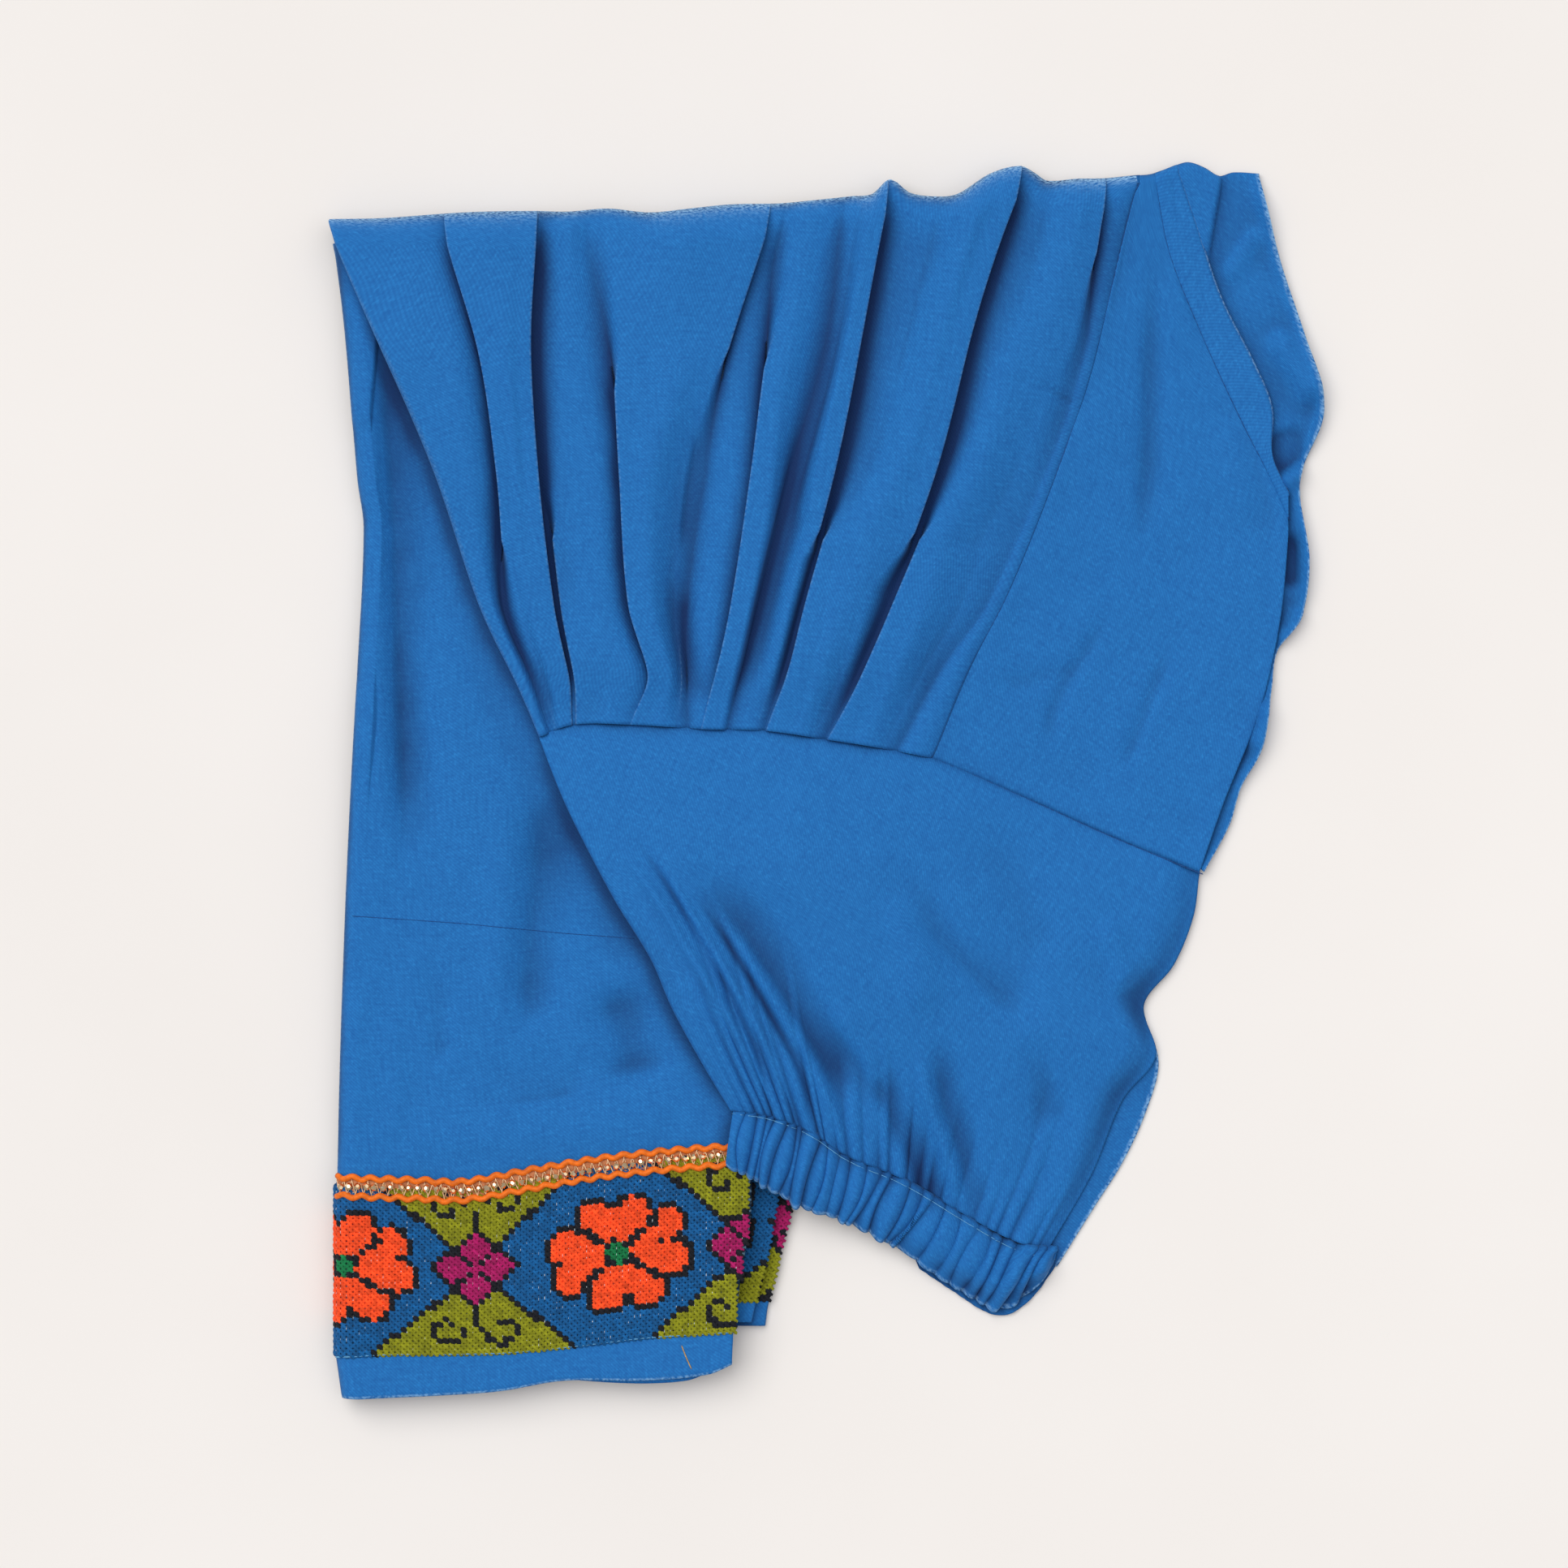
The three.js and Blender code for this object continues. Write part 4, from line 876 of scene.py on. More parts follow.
ribbon_runs = np.linspace(0.5, BRAID_SEWN, 260)
ribbon = np.stack([braid_spot(ribbon_runs, np.full(260, side), 0.05) for side in np.linspace(-2.6, 2.6, 7)])
ribbon_yarn = yarn_material("rayon_ribbon_peach", 0.5, 0.5, "#C07A4E")
braid_ribbon = cloth("braid_ribbon", ribbon, 0.3, material=ribbon_yarn)
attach(braid_ribbon, "root")

gold_parts = []
for k in range(int((BRAID_SEWN - 2) / THREAD_PITCH)):
    lean = 0.9 if k % 2 else -0.9
    start = 0.8 + k * THREAD_PITCH
    steps = np.linspace(-1, 1, 7)
    lift = 0.1 + 0.25 * (k % 3) + 0.35 * (1 - steps**2)
    gold_parts.append(tube(braid_spot(start + lean * steps, steps * 3.0, lift), 0.2, 4))
gold_thread = yarn_material("metallised_gold_thread", 0.35, 0.3, "#F3CBA0", 0.3)
points, faces = joined(gold_parts)
braid_threads = mesh_object("braid_threads", points, faces, gold_thread)
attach(braid_threads, "root")


def gilt_material():
    """Gilt on cut brass beads: a pale warm metal whose small flat facets each catch the light differently."""
    material, tree = blank_material("gilt_cut_bead")
    place_at = node(tree, "ShaderNodeTexCoord").outputs["Object"]
    patina = node(tree, "ShaderNodeTexNoise", {"Vector": place_at, "Scale": 420, "Detail": 2})
    tone = node(tree, "ShaderNodeMix", {"Factor": patina.outputs[0], 6: linear("#E3AE6C"),
                7: linear("#FFF4D8")}, data_type="RGBA")
    skin = node(tree, "ShaderNodeBsdfPrincipled", {"Base Color": tone.outputs[2], "Roughness": 0.16,
                "Metallic": 1.0})
    node(tree, "ShaderNodeOutputMaterial", {"Surface": skin.outputs[0]})
    return material


bead_rings = [(0.16, -0.42), (0.5, -0.16), (0.5, 0.2), (0.24, 0.5)]
bead_points = np.array([(r * math.cos(a), r * math.sin(a), z + 0.42) for r, z in bead_rings
                        for a in np.linspace(0, math.tau, 7)[:-1]])
bead_faces = [(i * 6 + j, i * 6 + (j + 1) % 6, i * 6 + 6 + (j + 1) % 6, i * 6 + 6 + j)
              for i in range(3) for j in range(6)] + [tuple(range(5, -1, -1)), tuple(range(18, 24))]
cut_bead = shape("cut_bead", [(bead_points, bead_faces)], smooth=False)
bead_runs = np.arange(1.6, BRAID_SEWN - 0.5, BEAD_PITCH)
bead_spots = braid_spot(bead_runs, 0.35 * np.sin(bead_runs * 2.1), 0.15)
bead_turn = np.random.default_rng(8).uniform(0, math.tau, len(bead_runs))
bead_tilt = np.random.default_rng(9).uniform(-0.35, 0.35, (len(bead_runs), 2))
bead_up = np.column_stack([bead_tilt, np.ones(len(bead_runs))])
bead_way = np.column_stack([np.cos(bead_turn), np.sin(bead_turn), np.zeros(len(bead_runs))])
gilt = gilt_material()
braid_beads = place("braid_beads", bead_spots, bead_up, bead_way, cut_bead, (2.5, 2.3, 2.1), gilt,
                    0.15, smooth=False)
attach(braid_beads, "root")

# Pleated front of the skirt
# The skirt's front is laid in knife pleats, caught in the armhole seam, and turned down over the top fold.
# The pleats fan out towards the top; their pressed edges are pale, partly rubbed nap, partly painted
# highlight.
FOLD_RADIUS = 0.45
TOP_ROLL = 6.5
PLEAT_TOP_Y = 188
PLEAT_SEAM_Y = 12
ARMHOLE_PLEATED = [
    (-95, 14), (-84, 18), (-64.5, 18), (-40.5, 16.5), (-20.5, 16), (0.5, 13), (16.5, 10.5), (35, 7),
]
PLEAT_HEIGHTS = (12, 32, 58, 101, 145, 188)
# The strip on top, x at six heights, laps at four (below zero, an open slope of that width), rises at three
PLEATS = [
    ("right", (-90.5, -95.5, -104.5, -108.5, -115, -126.5), (-3, -3, 3, 4), (0.5, 2.8, 2.6)),
    ("left", (-85, -86, -91, -96, -98.5, -96.5), (2.5, 4, 3, 2), (2.6, 2.8, 2.6)),
    ("right", (-82.5, -83, -87.5, -92, -94, -90.5), (4, 4, -4, -6), (2.8, 1.4, 0.8)),
    ("right", (-64.5, -58.5, -65, -68, -70.5, -74), (5, 4, 3, -8), (3.2, 2.8, 0.8)),
    ("left", (-48, -47.5, -48.5, -44, -32.5, -19), (-2, -4, -4, 5), (0.6, 1.0, 2.8)),
    ("right", (-41, -36.5, -31, -24.5, -18.5, -9), (6, 6, 4, -7), (2.8, 2.8, 0.6)),
    ("right", (-31, -27, -21, -10, 2, 8), (-2.5, -2.5, -2.5, -3), (0.3, 0.3, 1.2)),
    ("left", (-21.8, -16.8, -9.8, 1.8, 11, 20), (-2, -4, 3, 6), (0.8, 2.8, 3.0)),
    ("right", (-19.5, -13, -6.5, 5.5, 15.5, 25.5), (6.5, 5, -5, -9), (3.0, 1.4, 0.6)),
    ("left", (-1.8, 7.2, 19.2, 35.2, 47.5, 64.5), (-3, -5, 4, 6), (0.8, 2.8, 3.0)),
    ("right", (0.8, 11, 22.5, 39.8, 52.2, 69.8), (6.5, 5, -5, -9), (3.0, 1.4, 0.6)),
    ("left", (20.5, 31.5, 49, 69.5, 84, 92.5), (-7, -8, -8, 2.5), (0.3, 0.5, 2.6)),
]
PLEAT_LEFT_X, PLEAT_LEFT_ROLL = (-95, -103, -115, -129.5, -148, -165.4), (0.8, 1.2, 1.7, 2.4, 2.4, 1.0)
PLEAT_RIGHT_X = (35, 44.5, 58.5, 76, 91.5, 104.5)
FRONT_CREASES = [
    (-0.6, 0.6, 1.2, [(69.3, 132.8), (76, 128), (83.6, 124.5)]),
    (-0.4, 0.8, 1.2, [(58.5, 132.8), (63.9, 131.5), (67.9, 132.3)]),
    (-0.9, 0.7, 2.5, [(-42.3, 120.2), (-44.4, 107.7), (-47.1, 91.8), (-48.7, 72.9)]),
    (-1.2, 5, 4, [(-49.5, 70.2), (-46.8, 48.6), (-42.3, 29.7), (-37.4, 20.2)]),
    (0.8, 5, 5, [(73.3, 178.2), (65.7, 151.2), (54.4, 118.8), (40.9, 86.4)]),
    (0.8, 5, 5, [(38.2, 178.2), (30.1, 145.8), (19.3, 108)]),
    (-0.7, 6, 6, [(53.1, 108), (40.9, 70.2), (24.7, 35.1)]),
]
STRIP_STEPS = 11
ARC_STEPS = 4
RELIEF = 2.1
DIP_RUN = 13.0
CROWN = 3.6
TOP_OUTLINE = [
    (-165.9, 186.0), (-148.1, 186.3), (-126.0, 187.9), (-113.0, 188.5), (-96.5, 188.7), (-86.0, 188.5),
    (-72.5, 189.5), (-59.0, 188.2), (-45.5, 189.5), (-32.0, 190.9), (-16.1, 191.2), (-5.0, 192.2),
    (8.0, 193.6), (15.3, 194.4), (21.2, 199.2), (27.4, 194.9), (35.5, 193.6), (43.6, 194.4), (54.4, 201.2),
    (64.4, 203.9), (69.3, 201.7), (73.3, 199.3), (84.1, 200.3), (92.2, 200.6), (103.0, 201.7), (112, 201.0),
]


def fold_path(dx, rise):
    """One pleat's fold: round two circles where it laps, and a soft open slope where it doesn't."""
    r = FOLD_RADIUS
    rest = math.sqrt(max(0, 4 * r * r - dx * dx)) if dx > 0 else 2 * r
    step = max(rise, 2 * r + rest + 0.02)
    dz = step - 2 * r
    turn = math.atan2(dz, dx) + math.asin(min(1, 2 * r / math.hypot(dx, dz)))
    angles = [turn * i / ARC_STEPS for i in range(ARC_STEPS + 1)]
    path = [(r * math.sin(a), r - r * math.cos(a), 0.0) for a in angles]
    path += [(dx - r * math.sin(a), step - r + r * math.cos(a), 0.2 * math.sin(math.pi * a / turn))
             for a in angles[::-1]]
    if dx > 0:
        soft, last = float(ease(0, 4, dx)), len(path) - 1
        path = [(mix(px, dx * i / last, soft), mix(pz, step * float(ease(0, 1, i / last)), soft),
                 nap * (1 - soft)) for i, (px, pz, nap) in enumerate(path)]
    return path, step


def strip_heights(xs, level, before, hold, free, crown):
    """The cloth between two folds: it dips late into the next pleat, or rises soon out of the last one."""
    if before < level:
        rise = ease(max(hold, free - DIP_RUN), free, xs)
    else:
        rise = ease(hold, min(free, hold + DIP_RUN), xs)
    t = (xs - hold) / max(1.0, free - hold)
    return mix(level, before, rise) + crown * np.clip(4 * t * (1 - t), 0, 1)


def pleat_section(y):
    """The pleated front across one height: x, lift above its lowest layer, and pale nap, partly painted
    highlight.
    """
    left = float(graph(PLEAT_HEIGHTS, PLEAT_LEFT_X)(y))
    roll = 1.25 * float(graph(PLEAT_HEIGHTS, PLEAT_LEFT_ROLL)(y))
    places = [float(graph(PLEAT_HEIGHTS, xs)(y)) for _, xs, _, _ in PLEATS]
    right = float(graph(PLEAT_HEIGHTS, PLEAT_RIGHT_X)(y)) - SEAM_GAP / 2
    under = min(10, (places[0] - left) * 0.4)
    section = [(left + roll + under, 0, 0), (left + roll, 0, 0)]
    for i in range(1, 9):
        a = math.pi * i / 8
        section.append((left + roll - roll * math.sin(a), roll - roll * math.cos(a), 0.1 * (2 < i < 7)))
    from_x, level, hold = left + roll, 2 * roll, left + roll + 0.4 * under
    for i, (over, _, laps, rises) in enumerate(PLEATS + [("end", (), (), ())]):
        if over == "end":
            x, lap, before, after, points = right, 0, 0, 0, [(right, 0, 0)]
        else:
            x, right_over = places[i], over == "right"
            gap = (places + [right])[i + 1] - x if right_over else x - hold
            lap = min(float(graph((12, 58, 101, 188), laps)(y)), gap * 0.5 - 1)
            rise = float(graph((12, 101, 188), rises)(y)) * float(mix(0.6, RELIEF, ease(12, 45, y)))
            open_width = min(-2.0 * lap, max(0.6, 0.45 * gap)) if lap <= 0 else 0.0
            path, step = fold_path(-lap if lap > 0 else open_width, rise)
            room = x - from_x if right_over else (places + [right])[i + 1] - x
            shift = min(0.5 * open_width, 0.45 * room)
            if right_over:
                points = [(x + max(lap, 0) - shift + dx, lift, nap) for dx, lift, nap in path]
            else:
                points = [(x - max(lap, 0) + shift - dx, lift, nap) for dx, lift, nap in path[::-1]]
            before, after = (0, step) if right_over else (step, 0)
        to = points[0][0]
        keep = float(ease(0, 1.5, lap))
        free = mix(to, x - lap - FOLD_RADIUS - 1.2, keep) if before > 0 else to
        shares = np.arange(1, STRIP_STEPS + 1) / (STRIP_STEPS + 1)
        xs = mix(from_x, to, shares)
        crown = (CROWN if level == before == 0 else 1.2) * min(1.0, (to - from_x) / 26)
        section += [(sx, sz, 0) for sx, sz in zip(xs, strip_heights(xs, level, before, hold, free, crown))]
        section += points
        end_x = points[-1][0]
        hold = mix(end_x, x + lap + FOLD_RADIUS + 1.2, keep if after > 0 else 0.0)
        from_x, level = end_x, after
    return section


seam_y, top_y = columns(ARMHOLE_PLEATED, 0, 1), columns(TOP_OUTLINE, 0, 1)
head_x, head_lift, _ = np.array(pleat_section(PLEAT_TOP_Y), float).T
head_shift = top_y(head_x) - head_lift - PLEAT_TOP_Y


def front_y(y, x):
    to_seam = (seam_y(x) - PLEAT_SEAM_Y) * (1 - ease(PLEAT_SEAM_Y, 45, y))
    return y + to_seam + head_shift * ease(122, PLEAT_TOP_Y - TOP_ROLL, y)


front_rows, front_wear = [], []
for y in np.linspace(PLEAT_SEAM_Y, PLEAT_TOP_Y - TOP_ROLL, 140):
    x, lift, nap = np.array(pleat_section(y), float).T
    py = front_y(y, x)
    soft = (0.35 * drift(x, y * 0.35, 24, 12) + creased(x, py, FRONT_CREASES)) * ease(14, 30, y)
    seam_dip = 0.15 * np.exp(-(((y - PLEAT_SEAM_Y) / 0.8) ** 2))
    front_rows.append(np.column_stack([x, py, bed(x, py) + UPPER_LAYER + lift + soft - seam_dip]))
    front_wear.append(nap)
start_y = PLEAT_TOP_Y - TOP_ROLL
soft = front_rows[-1][:, 2] - bed(*front_rows[-1][:, :2].T) - UPPER_LAYER - lift
for turn in np.linspace(0.08, 1, 12):
    angle = turn * ROLL_END
    x, lift, nap = np.array(pleat_section(start_y + TOP_ROLL * math.sin(min(angle, math.pi / 2))), float).T
    py = start_y + head_shift
    high = bed(x, py) + UPPER_LAYER
    radius = np.minimum(TOP_ROLL, (high - 2.5) / (1 - math.cos(ROLL_END)))
    y = py + (TOP_ROLL - radius) * turn + (radius + lift) * math.sin(angle)
    z = high - radius + (radius + lift) * math.cos(angle) + soft * (1 - turn)
    front_rows.append(np.column_stack([x, y, z]))
    # The top roll's outer side is painted pale: partly rubbed nap, partly a painted highlight.
    front_wear.append(np.maximum(nap, math.exp(-(((math.degrees(angle) - 78) / 24) ** 2))))
skirt_front = cloth("skirt_front_cloth", np.array(front_rows), wear=np.array(front_wear))
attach(skirt_front, "root")
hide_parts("skirt_front")

# Plain bodice front
# One flat piece, sewn to the pleated front by the side seam and to the sleeve by the armhole seam.
# Its front edge is stitched down just inside the fold and lies on the back of the bodice.
ARMHOLE_PLAIN = [(35, 7), (65, -5.5), (94, -18.5), (124.5, -31)]
SIDE_SEAM = [tuple(front_rows[k][-1, :2]) for k in (0, 20, 40, 60, 80, 100, 120, 139)] + [(104.4, 199)]
BODICE_CREASES = [
    (-0.9, 4, 5, [(109.5, 178.2), (108.1, 143.1), (106.8, 102.1), (103, 70.2)]),
    (-0.6, 3, 3, [(96.3, 58.1), (86.8, 43.2), (76, 24.3), (73.3, 6.8)]),
    (-0.6, 3, 3, [(115.2, 45.9), (107.9, 27), (97.6, 0)]),
    (0.6, 5, 5, [(132.7, 124.2), (138.1, 102.6), (140.8, 83.7)]),
    (-0.4, 4, 4, [(53.9, 31.1), (70.6, 33.8), (85.2, 39.4)]),
]
bodice_left = curve(SIDE_SEAM, SEAM_GAP)
bodice_low, bodice_high = curve(FRONT_EDGE, -SEAM_GAP / 2), curve(NECK_STITCH, -SEAM_GAP / 2)


def bodice_right(v):
    v = np.asarray(v, float)
    lower = bodice_low(np.clip(2 * v, 0, 1))
    return np.where((v <= 0.5)[..., None], lower, bodice_high(np.clip(2 * v - 1, 0, 1)))


def level_head(left, right, y):
    def line(u):
        x = mix(left(1.0)[0], right(1.0)[0], np.asarray(u, float))
        return np.stack([x, np.full(np.shape(x), float(y))], -1)
    return line


def bodice_height(x, y, u, v):
    settle = ease(0.75, 1, u) * (1 - ease(0.3, 0.42, v))
    soft = 1.5 * creased(x, y, BODICE_CREASES) + 0.5 * drift(x, y, 45, 31)
    inside = ease(0, 0.08, u) * ease(1, 0.92, u) * ease(0, 0.06, v)
    at_seams = np.exp(-((u / 0.008) ** 2)) + np.exp(-(((1 - u) / 0.008) ** 2)) + np.exp(-((v / 0.005) ** 2))
    dip = 0.15 * at_seams
    return mix(bed(x, y) + UPPER_LAYER, ON_BACK + 1.6, settle) + soft * inside - np.minimum(dip, 0.15)


SHOULDER_TOP = [
    (100, 201.2), (107, 201.4), (112, 202.8), (117, 204.8), (121, 205.7), (126, 204), (131, 201.2),
    (136, 202.4), (144.5, 202),
]
shoulder_y = columns(SHOULDER_TOP, 0, 1)


def turned_over(grid, radius):
    """Turns the top of a grid over and down, with its outline on the shoulder's top line."""
    r = np.minimum(radius, np.maximum(0.2, (grid[-1, :, 2] - 0.6) / (1 - math.cos(ROLL_END))))
    reach = shoulder_y(grid[-1, :, 0]) - r - grid[-1, :, 1]
    grid = grid.copy()
    grid[..., 1] += reach * ease(0.86, 1, np.linspace(0, 1, len(grid)))[:, None]
    rows = []
    for turn in np.linspace(0.12, 1, 8):
        angle = turn * ROLL_END
        rows.append(grid[-1] + np.stack([0 * r, r * math.sin(angle), r * (math.cos(angle) - 1)], -1))
    return np.concatenate([grid, rows])


bodice_plan = patch(curve(ARMHOLE_PLAIN, SEAM_GAP / 2), level_head(bodice_left, bodice_right, 199),
                    bodice_left, bodice_right)
edge_steps = np.concatenate([[0, 0.006, 0.014], np.linspace(0.025, 0.975, 84), [0.986, 0.994, 1]])
bodice_grid = lay(bodice_plan, bodice_height, edge_steps, np.linspace(0, 1, 170))
under_edge = bodice_grid[:, :1] + (-1.3, 0.2, -1.0)
bodice_grid = turned_over(np.concatenate([under_edge, bodice_grid], 1), 3.2)
bodice_front = cloth("bodice_front_cloth", bodice_grid, turned=0.2)
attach(bodice_front, "root")
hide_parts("bodice_front")

# Back of the bodice
# One piece of the same cotton. It lies on the table under the front and shows as a wavy strip at the right.
BACK_EDGE = [
    (126, -31), (134.5, -15.5), (138.5, -2.5), (145, 9.5), (148.5, 29.5), (150.5, 42.5), (158.5, 54),
    (161, 73), (158, 99.5), (166, 123), (159.5, 148.5), (151.5, 173), (147.5, 189), (144.5, 202),
]
BACK_INNER = [
    (119.5, -25), (126, -8), (135, 16), (141, 40), (146, 62), (148, 85), (142, 104), (133, 124),
    (123, 147), (114, 172), (113.5, 203),
]
BACK_CREASES = [
    (2.4, 5, 4, [(148, 152), (156.7, 138), (164.6, 124)]),
    (2.0, 3, 3, [(152, 96), (157, 103.1), (161, 99.4)]),
    (1.6, 4, 4, [(152, 43.2), (156.3, 50.6), (160.1, 57.7)]),
    (1.4, 4, 4, [(141, 8), (145.5, 18.9), (148.6, 27.3)]),
    (1.0, 3, 4, [(147, 186), (140, 178), (133, 165)]),
    (-1.6, 6, 6, [(151, 118), (154, 109), (156, 100)]),
    (-1.3, 4, 4, [(155, 84), (155.5, 73), (155, 62)]),
]


def between(left, right):
    return patch(straight(left(0.0), right(0.0)), straight(left(1.0), right(1.0)), left, right)


back_edge_x = columns(BACK_EDGE, 1, 0)


def back_height(x, y, u=None, v=None):
    outer = back_edge_x(y)
    strip = 2.6 * (1 - ease(-0.3, 0.6, x - np.interp(y, (176, 205), (127.3, 131.5)))) * ease(168, 182, y)
    flutter = (2.2 + 1.3 * np.sin(y / 9.5)) * np.exp(-(((outer - x) / 3.2) ** 2)) * ease(205, 190, y)
    loose = 0.45 + 1.0 * ease(50, 66, y) + 0.25 * (1 + drift(x, y, 26, 41))
    return np.maximum(0.45, loose + 1.6 * creased(x, y, BACK_CREASES) + strip + flutter)


bodice_back = cloth("bodice_back_cloth",
                    turned_over(lay(between(curve(BACK_INNER), curve(BACK_EDGE)), back_height,
                                    np.linspace(0, 1, 44), np.linspace(0, 1, 180)), 2.5),
                    wear=worn_and_lit_edge(44, 3))
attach(bodice_back, "root")
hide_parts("bodice_back")

# Neck facing
# A narrow shaped facing, sewn along the neckline and turned out flat, with its outer edge on the back.
NECK_EDGE = [(154, 95.5), (148.5, 108), (148.5, 124), (143, 138), (131.5, 161), (123, 186.5), (117.5, 202)]


def facing_height(x, y, u, v):
    proud = bed(x, y) + UPPER_LAYER + 0.6 * np.sin(math.pi * u) + 0.5 * drift(x, y, 22, 47) * u
    flat = mix(proud, ON_BACK + 3.0, ease(0.4, 1, u))
    turned_edge = 1.2 * ease(0.86, 1, u) ** 2
    return np.maximum(flat, back_height(x, y) + 0.9) - turned_edge - 0.25 * np.exp(-((u / 0.05) ** 2))


neck_facing = cloth("neck_facing_cloth",
                    turned_over(lay(between(curve(NECK_STITCH, SEAM_GAP / 2), curve(NECK_EDGE)),
                                    facing_height, np.linspace(0, 1, 30), np.linspace(0, 1, 140)), 2.6),
                    wear=worn_and_lit_edge(30, 3))
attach(neck_facing, "root")
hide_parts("neck_facing")

# Puff sleeve
# A short full sleeve, set into the armhole seam and gathered into its casing at the foot. The air in it holds
# it up, and its gathers run up from the casing; the long ones lie along the left side.
SLEEVE_PUFF = 7.5
SLEEVE_LIFT = 0.4
SLEEVE_ROLL = 1.9
# Ruches under the casing's stitches, from left to right: their valleys' shares along the casing's head and
# foot, and how far up the sleeve each one starts, from the armhole down
RUCHES = [
    (0, 0, 0.25), (0.036, 0.035, 0.2), (0.068, 0.056, 0.3), (0.094, 0.077, 0.15), (0.12, 0.096, 0.3),
    (0.156, 0.118, 0.2), (0.182, 0.154, 0.35), (0.2, 0.189, 0.55), (0.258, 0.217, 0.3), (0.284, 0.251, 0.75),
    (0.325, 0.287, 0.8), (0.36, 0.32, 0.6), (0.41, 0.34, 0.85), (0.455, 0.359, 0.5), (0.484, 0.409, 0.7),
    (0.543, 0.455, 0.55), (0.585, 0.47, 0.8), (0.616, 0.485, 0.6), (0.66, 0.559, 0.8), (0.71, 0.613, 0.6),
    (0.769, 0.66, 0.75), (0.81, 0.697, 0.85), (0.842, 0.738, 0.45), (0.886, 0.764, 0.8), (0.944, 0.8, 0.6),
    (0.97, 0.86, 0.8), (1, 1, 0.8),
]
SLEEVE_LEFT = [
    (-95, 13), (-89, -2.5), (-83, -15.5), (-70, -40), (-58, -59.5), (-51, -75.5),
    (-40, -95.5), (-31.5, -109.5),
]
CUFF_STITCH = [
    (-31, -110), (-19, -112), (-5.5, -117.5), (7, -126), (26, -134.5), (47.5, -147.5),
    (62, -155.5), (74, -159),
]
SLEEVE_CREASES = [
    (-3.2, 9, 14, [(-49.3, -24.3), (-30.4, -45.9), (-15.8, -64.8), (-4.2, -84.8),
                   (8.2, -99.4), (18.8, -116.1)]),
    (-1.7, 4, 7, [(13.9, -88.3), (21.7, -109.6), (32.8, -136.4), (34.4, -150)]),
    (-1.4, 5, 8, [(37.4, -80.5), (39.6, -105), (47.4, -131.8), (49.5, -154)]),
    (-1.0, 7, 9, [(66.6, -88.3), (73, -107.2), (66.6, -140.9), (64.1, -162)]),
    (1.3, 1.6, 1.6, [(-73, -16.5), (-57.1, -37.8), (-44.4, -59.4), (-30.4, -82.9),
                     (-20.9, -106.4), (-19, -118)]),
    (-1.2, 1.4, 1.4, [(-67.1, -13.5), (-50.9, -37.8), (-34.7, -64.8), (-23.9, -89.1),
                      (-18.5, -108), (-17, -118)]),
    (1.2, 1.6, 1.6, [(-54.9, -27), (-40.1, -52.9), (-28.2, -73.2), (-17.1, -94.5),
                     (-13.6, -110.7), (-12, -122)]),
    (-1.2, 1.3, 1.6, [(-45.5, -35.1), (-32, -55.4), (-20.1, -75.6), (-9, -97.2), (-5, -116.1), (-4, -126)]),
    (1.3, 2, 2, [(-37.4, -39.2), (-23.9, -62.1), (-10.4, -83.7), (-0.9, -102.6), (4.5, -118.8), (6, -132)]),
    (-0.8, 12, 13, [(46.3, -10.8), (55.8, -29.7), (67.9, -48.6), (78.7, -62.1)]),
    (-1.3, 6, 11, [(14, -30), (36, -50), (57, -70), (72, -83)]),
    (1.2, 6, 7, [(22, -32.4), (28.8, -56.7), (32.8, -81)]),
    (1.2, 5, 5, [(90, -45.9), (97.6, -59.4), (100.3, -72.9)]),
    (-0.6, 7, 8, [(65.2, -84), (72, -99.9), (76, -118.8)]),
    (1.4, 3, 3, [(30.1, -89.1), (35.5, -110.7), (42.3, -132.3), (45, -146)]),
    (1, 3, 3, [(0.4, -72.9), (11.2, -89.1), (19.3, -105.3)]),
    (-0.3, 6, 6, [(-32, 8.1), (-45.5, -6.8), (-56.3, -13.5)]),
    (-0.3, 6, 6, [(-10.4, 8.1), (-18.5, -6.8), (-21.2, -21.6)]),
]
ruche_head, ruche_foot, ruche_start = np.array(RUCHES).T
ruche_draw = np.random.default_rng(17)
ruche_lean = ruche_draw.uniform(0.55, 1.8, len(RUCHES))
ruche_height = ruche_draw.uniform(0.6, 1.2, len(RUCHES)) * np.append(np.diff(ruche_head) / 0.04, 1) ** 0.6
ruche_floor = ruche_draw.uniform(0, 0.6, len(RUCHES))
ruche_bow = ruche_draw.uniform(-0.016, 0.016, len(RUCHES))


def gathers(u, v):
    """Rounded ridges with sharp valleys, from 0 up, and each ridge's number; v runs from foot to head."""
    v = np.asarray(v, float)[..., None]
    places = np.sort(mix(ruche_foot, ruche_head, v) + ruche_bow * np.sin(math.pi * v), -1)
    number = np.clip((np.asarray(u)[..., None] >= places).sum(-1) - 1, 0, len(RUCHES) - 2)
    start = np.take_along_axis(places, number[..., None], -1)[..., 0]
    end = np.take_along_axis(places, number[..., None] + 1, -1)[..., 0]
    share = np.clip((u - start) / (end - start), 0, 1) ** ruche_lean[number]
    floor = mix(ruche_floor[number], ruche_floor[number + 1], share)
    return mix(floor, 1, np.sin(math.pi * share) ** 0.75) * ruche_height[number], number


def sleeve_roll(v):
    return SLEEVE_ROLL * np.maximum(0.1, np.sin(math.pi * np.clip(v, 0, 1)) ** 0.5)


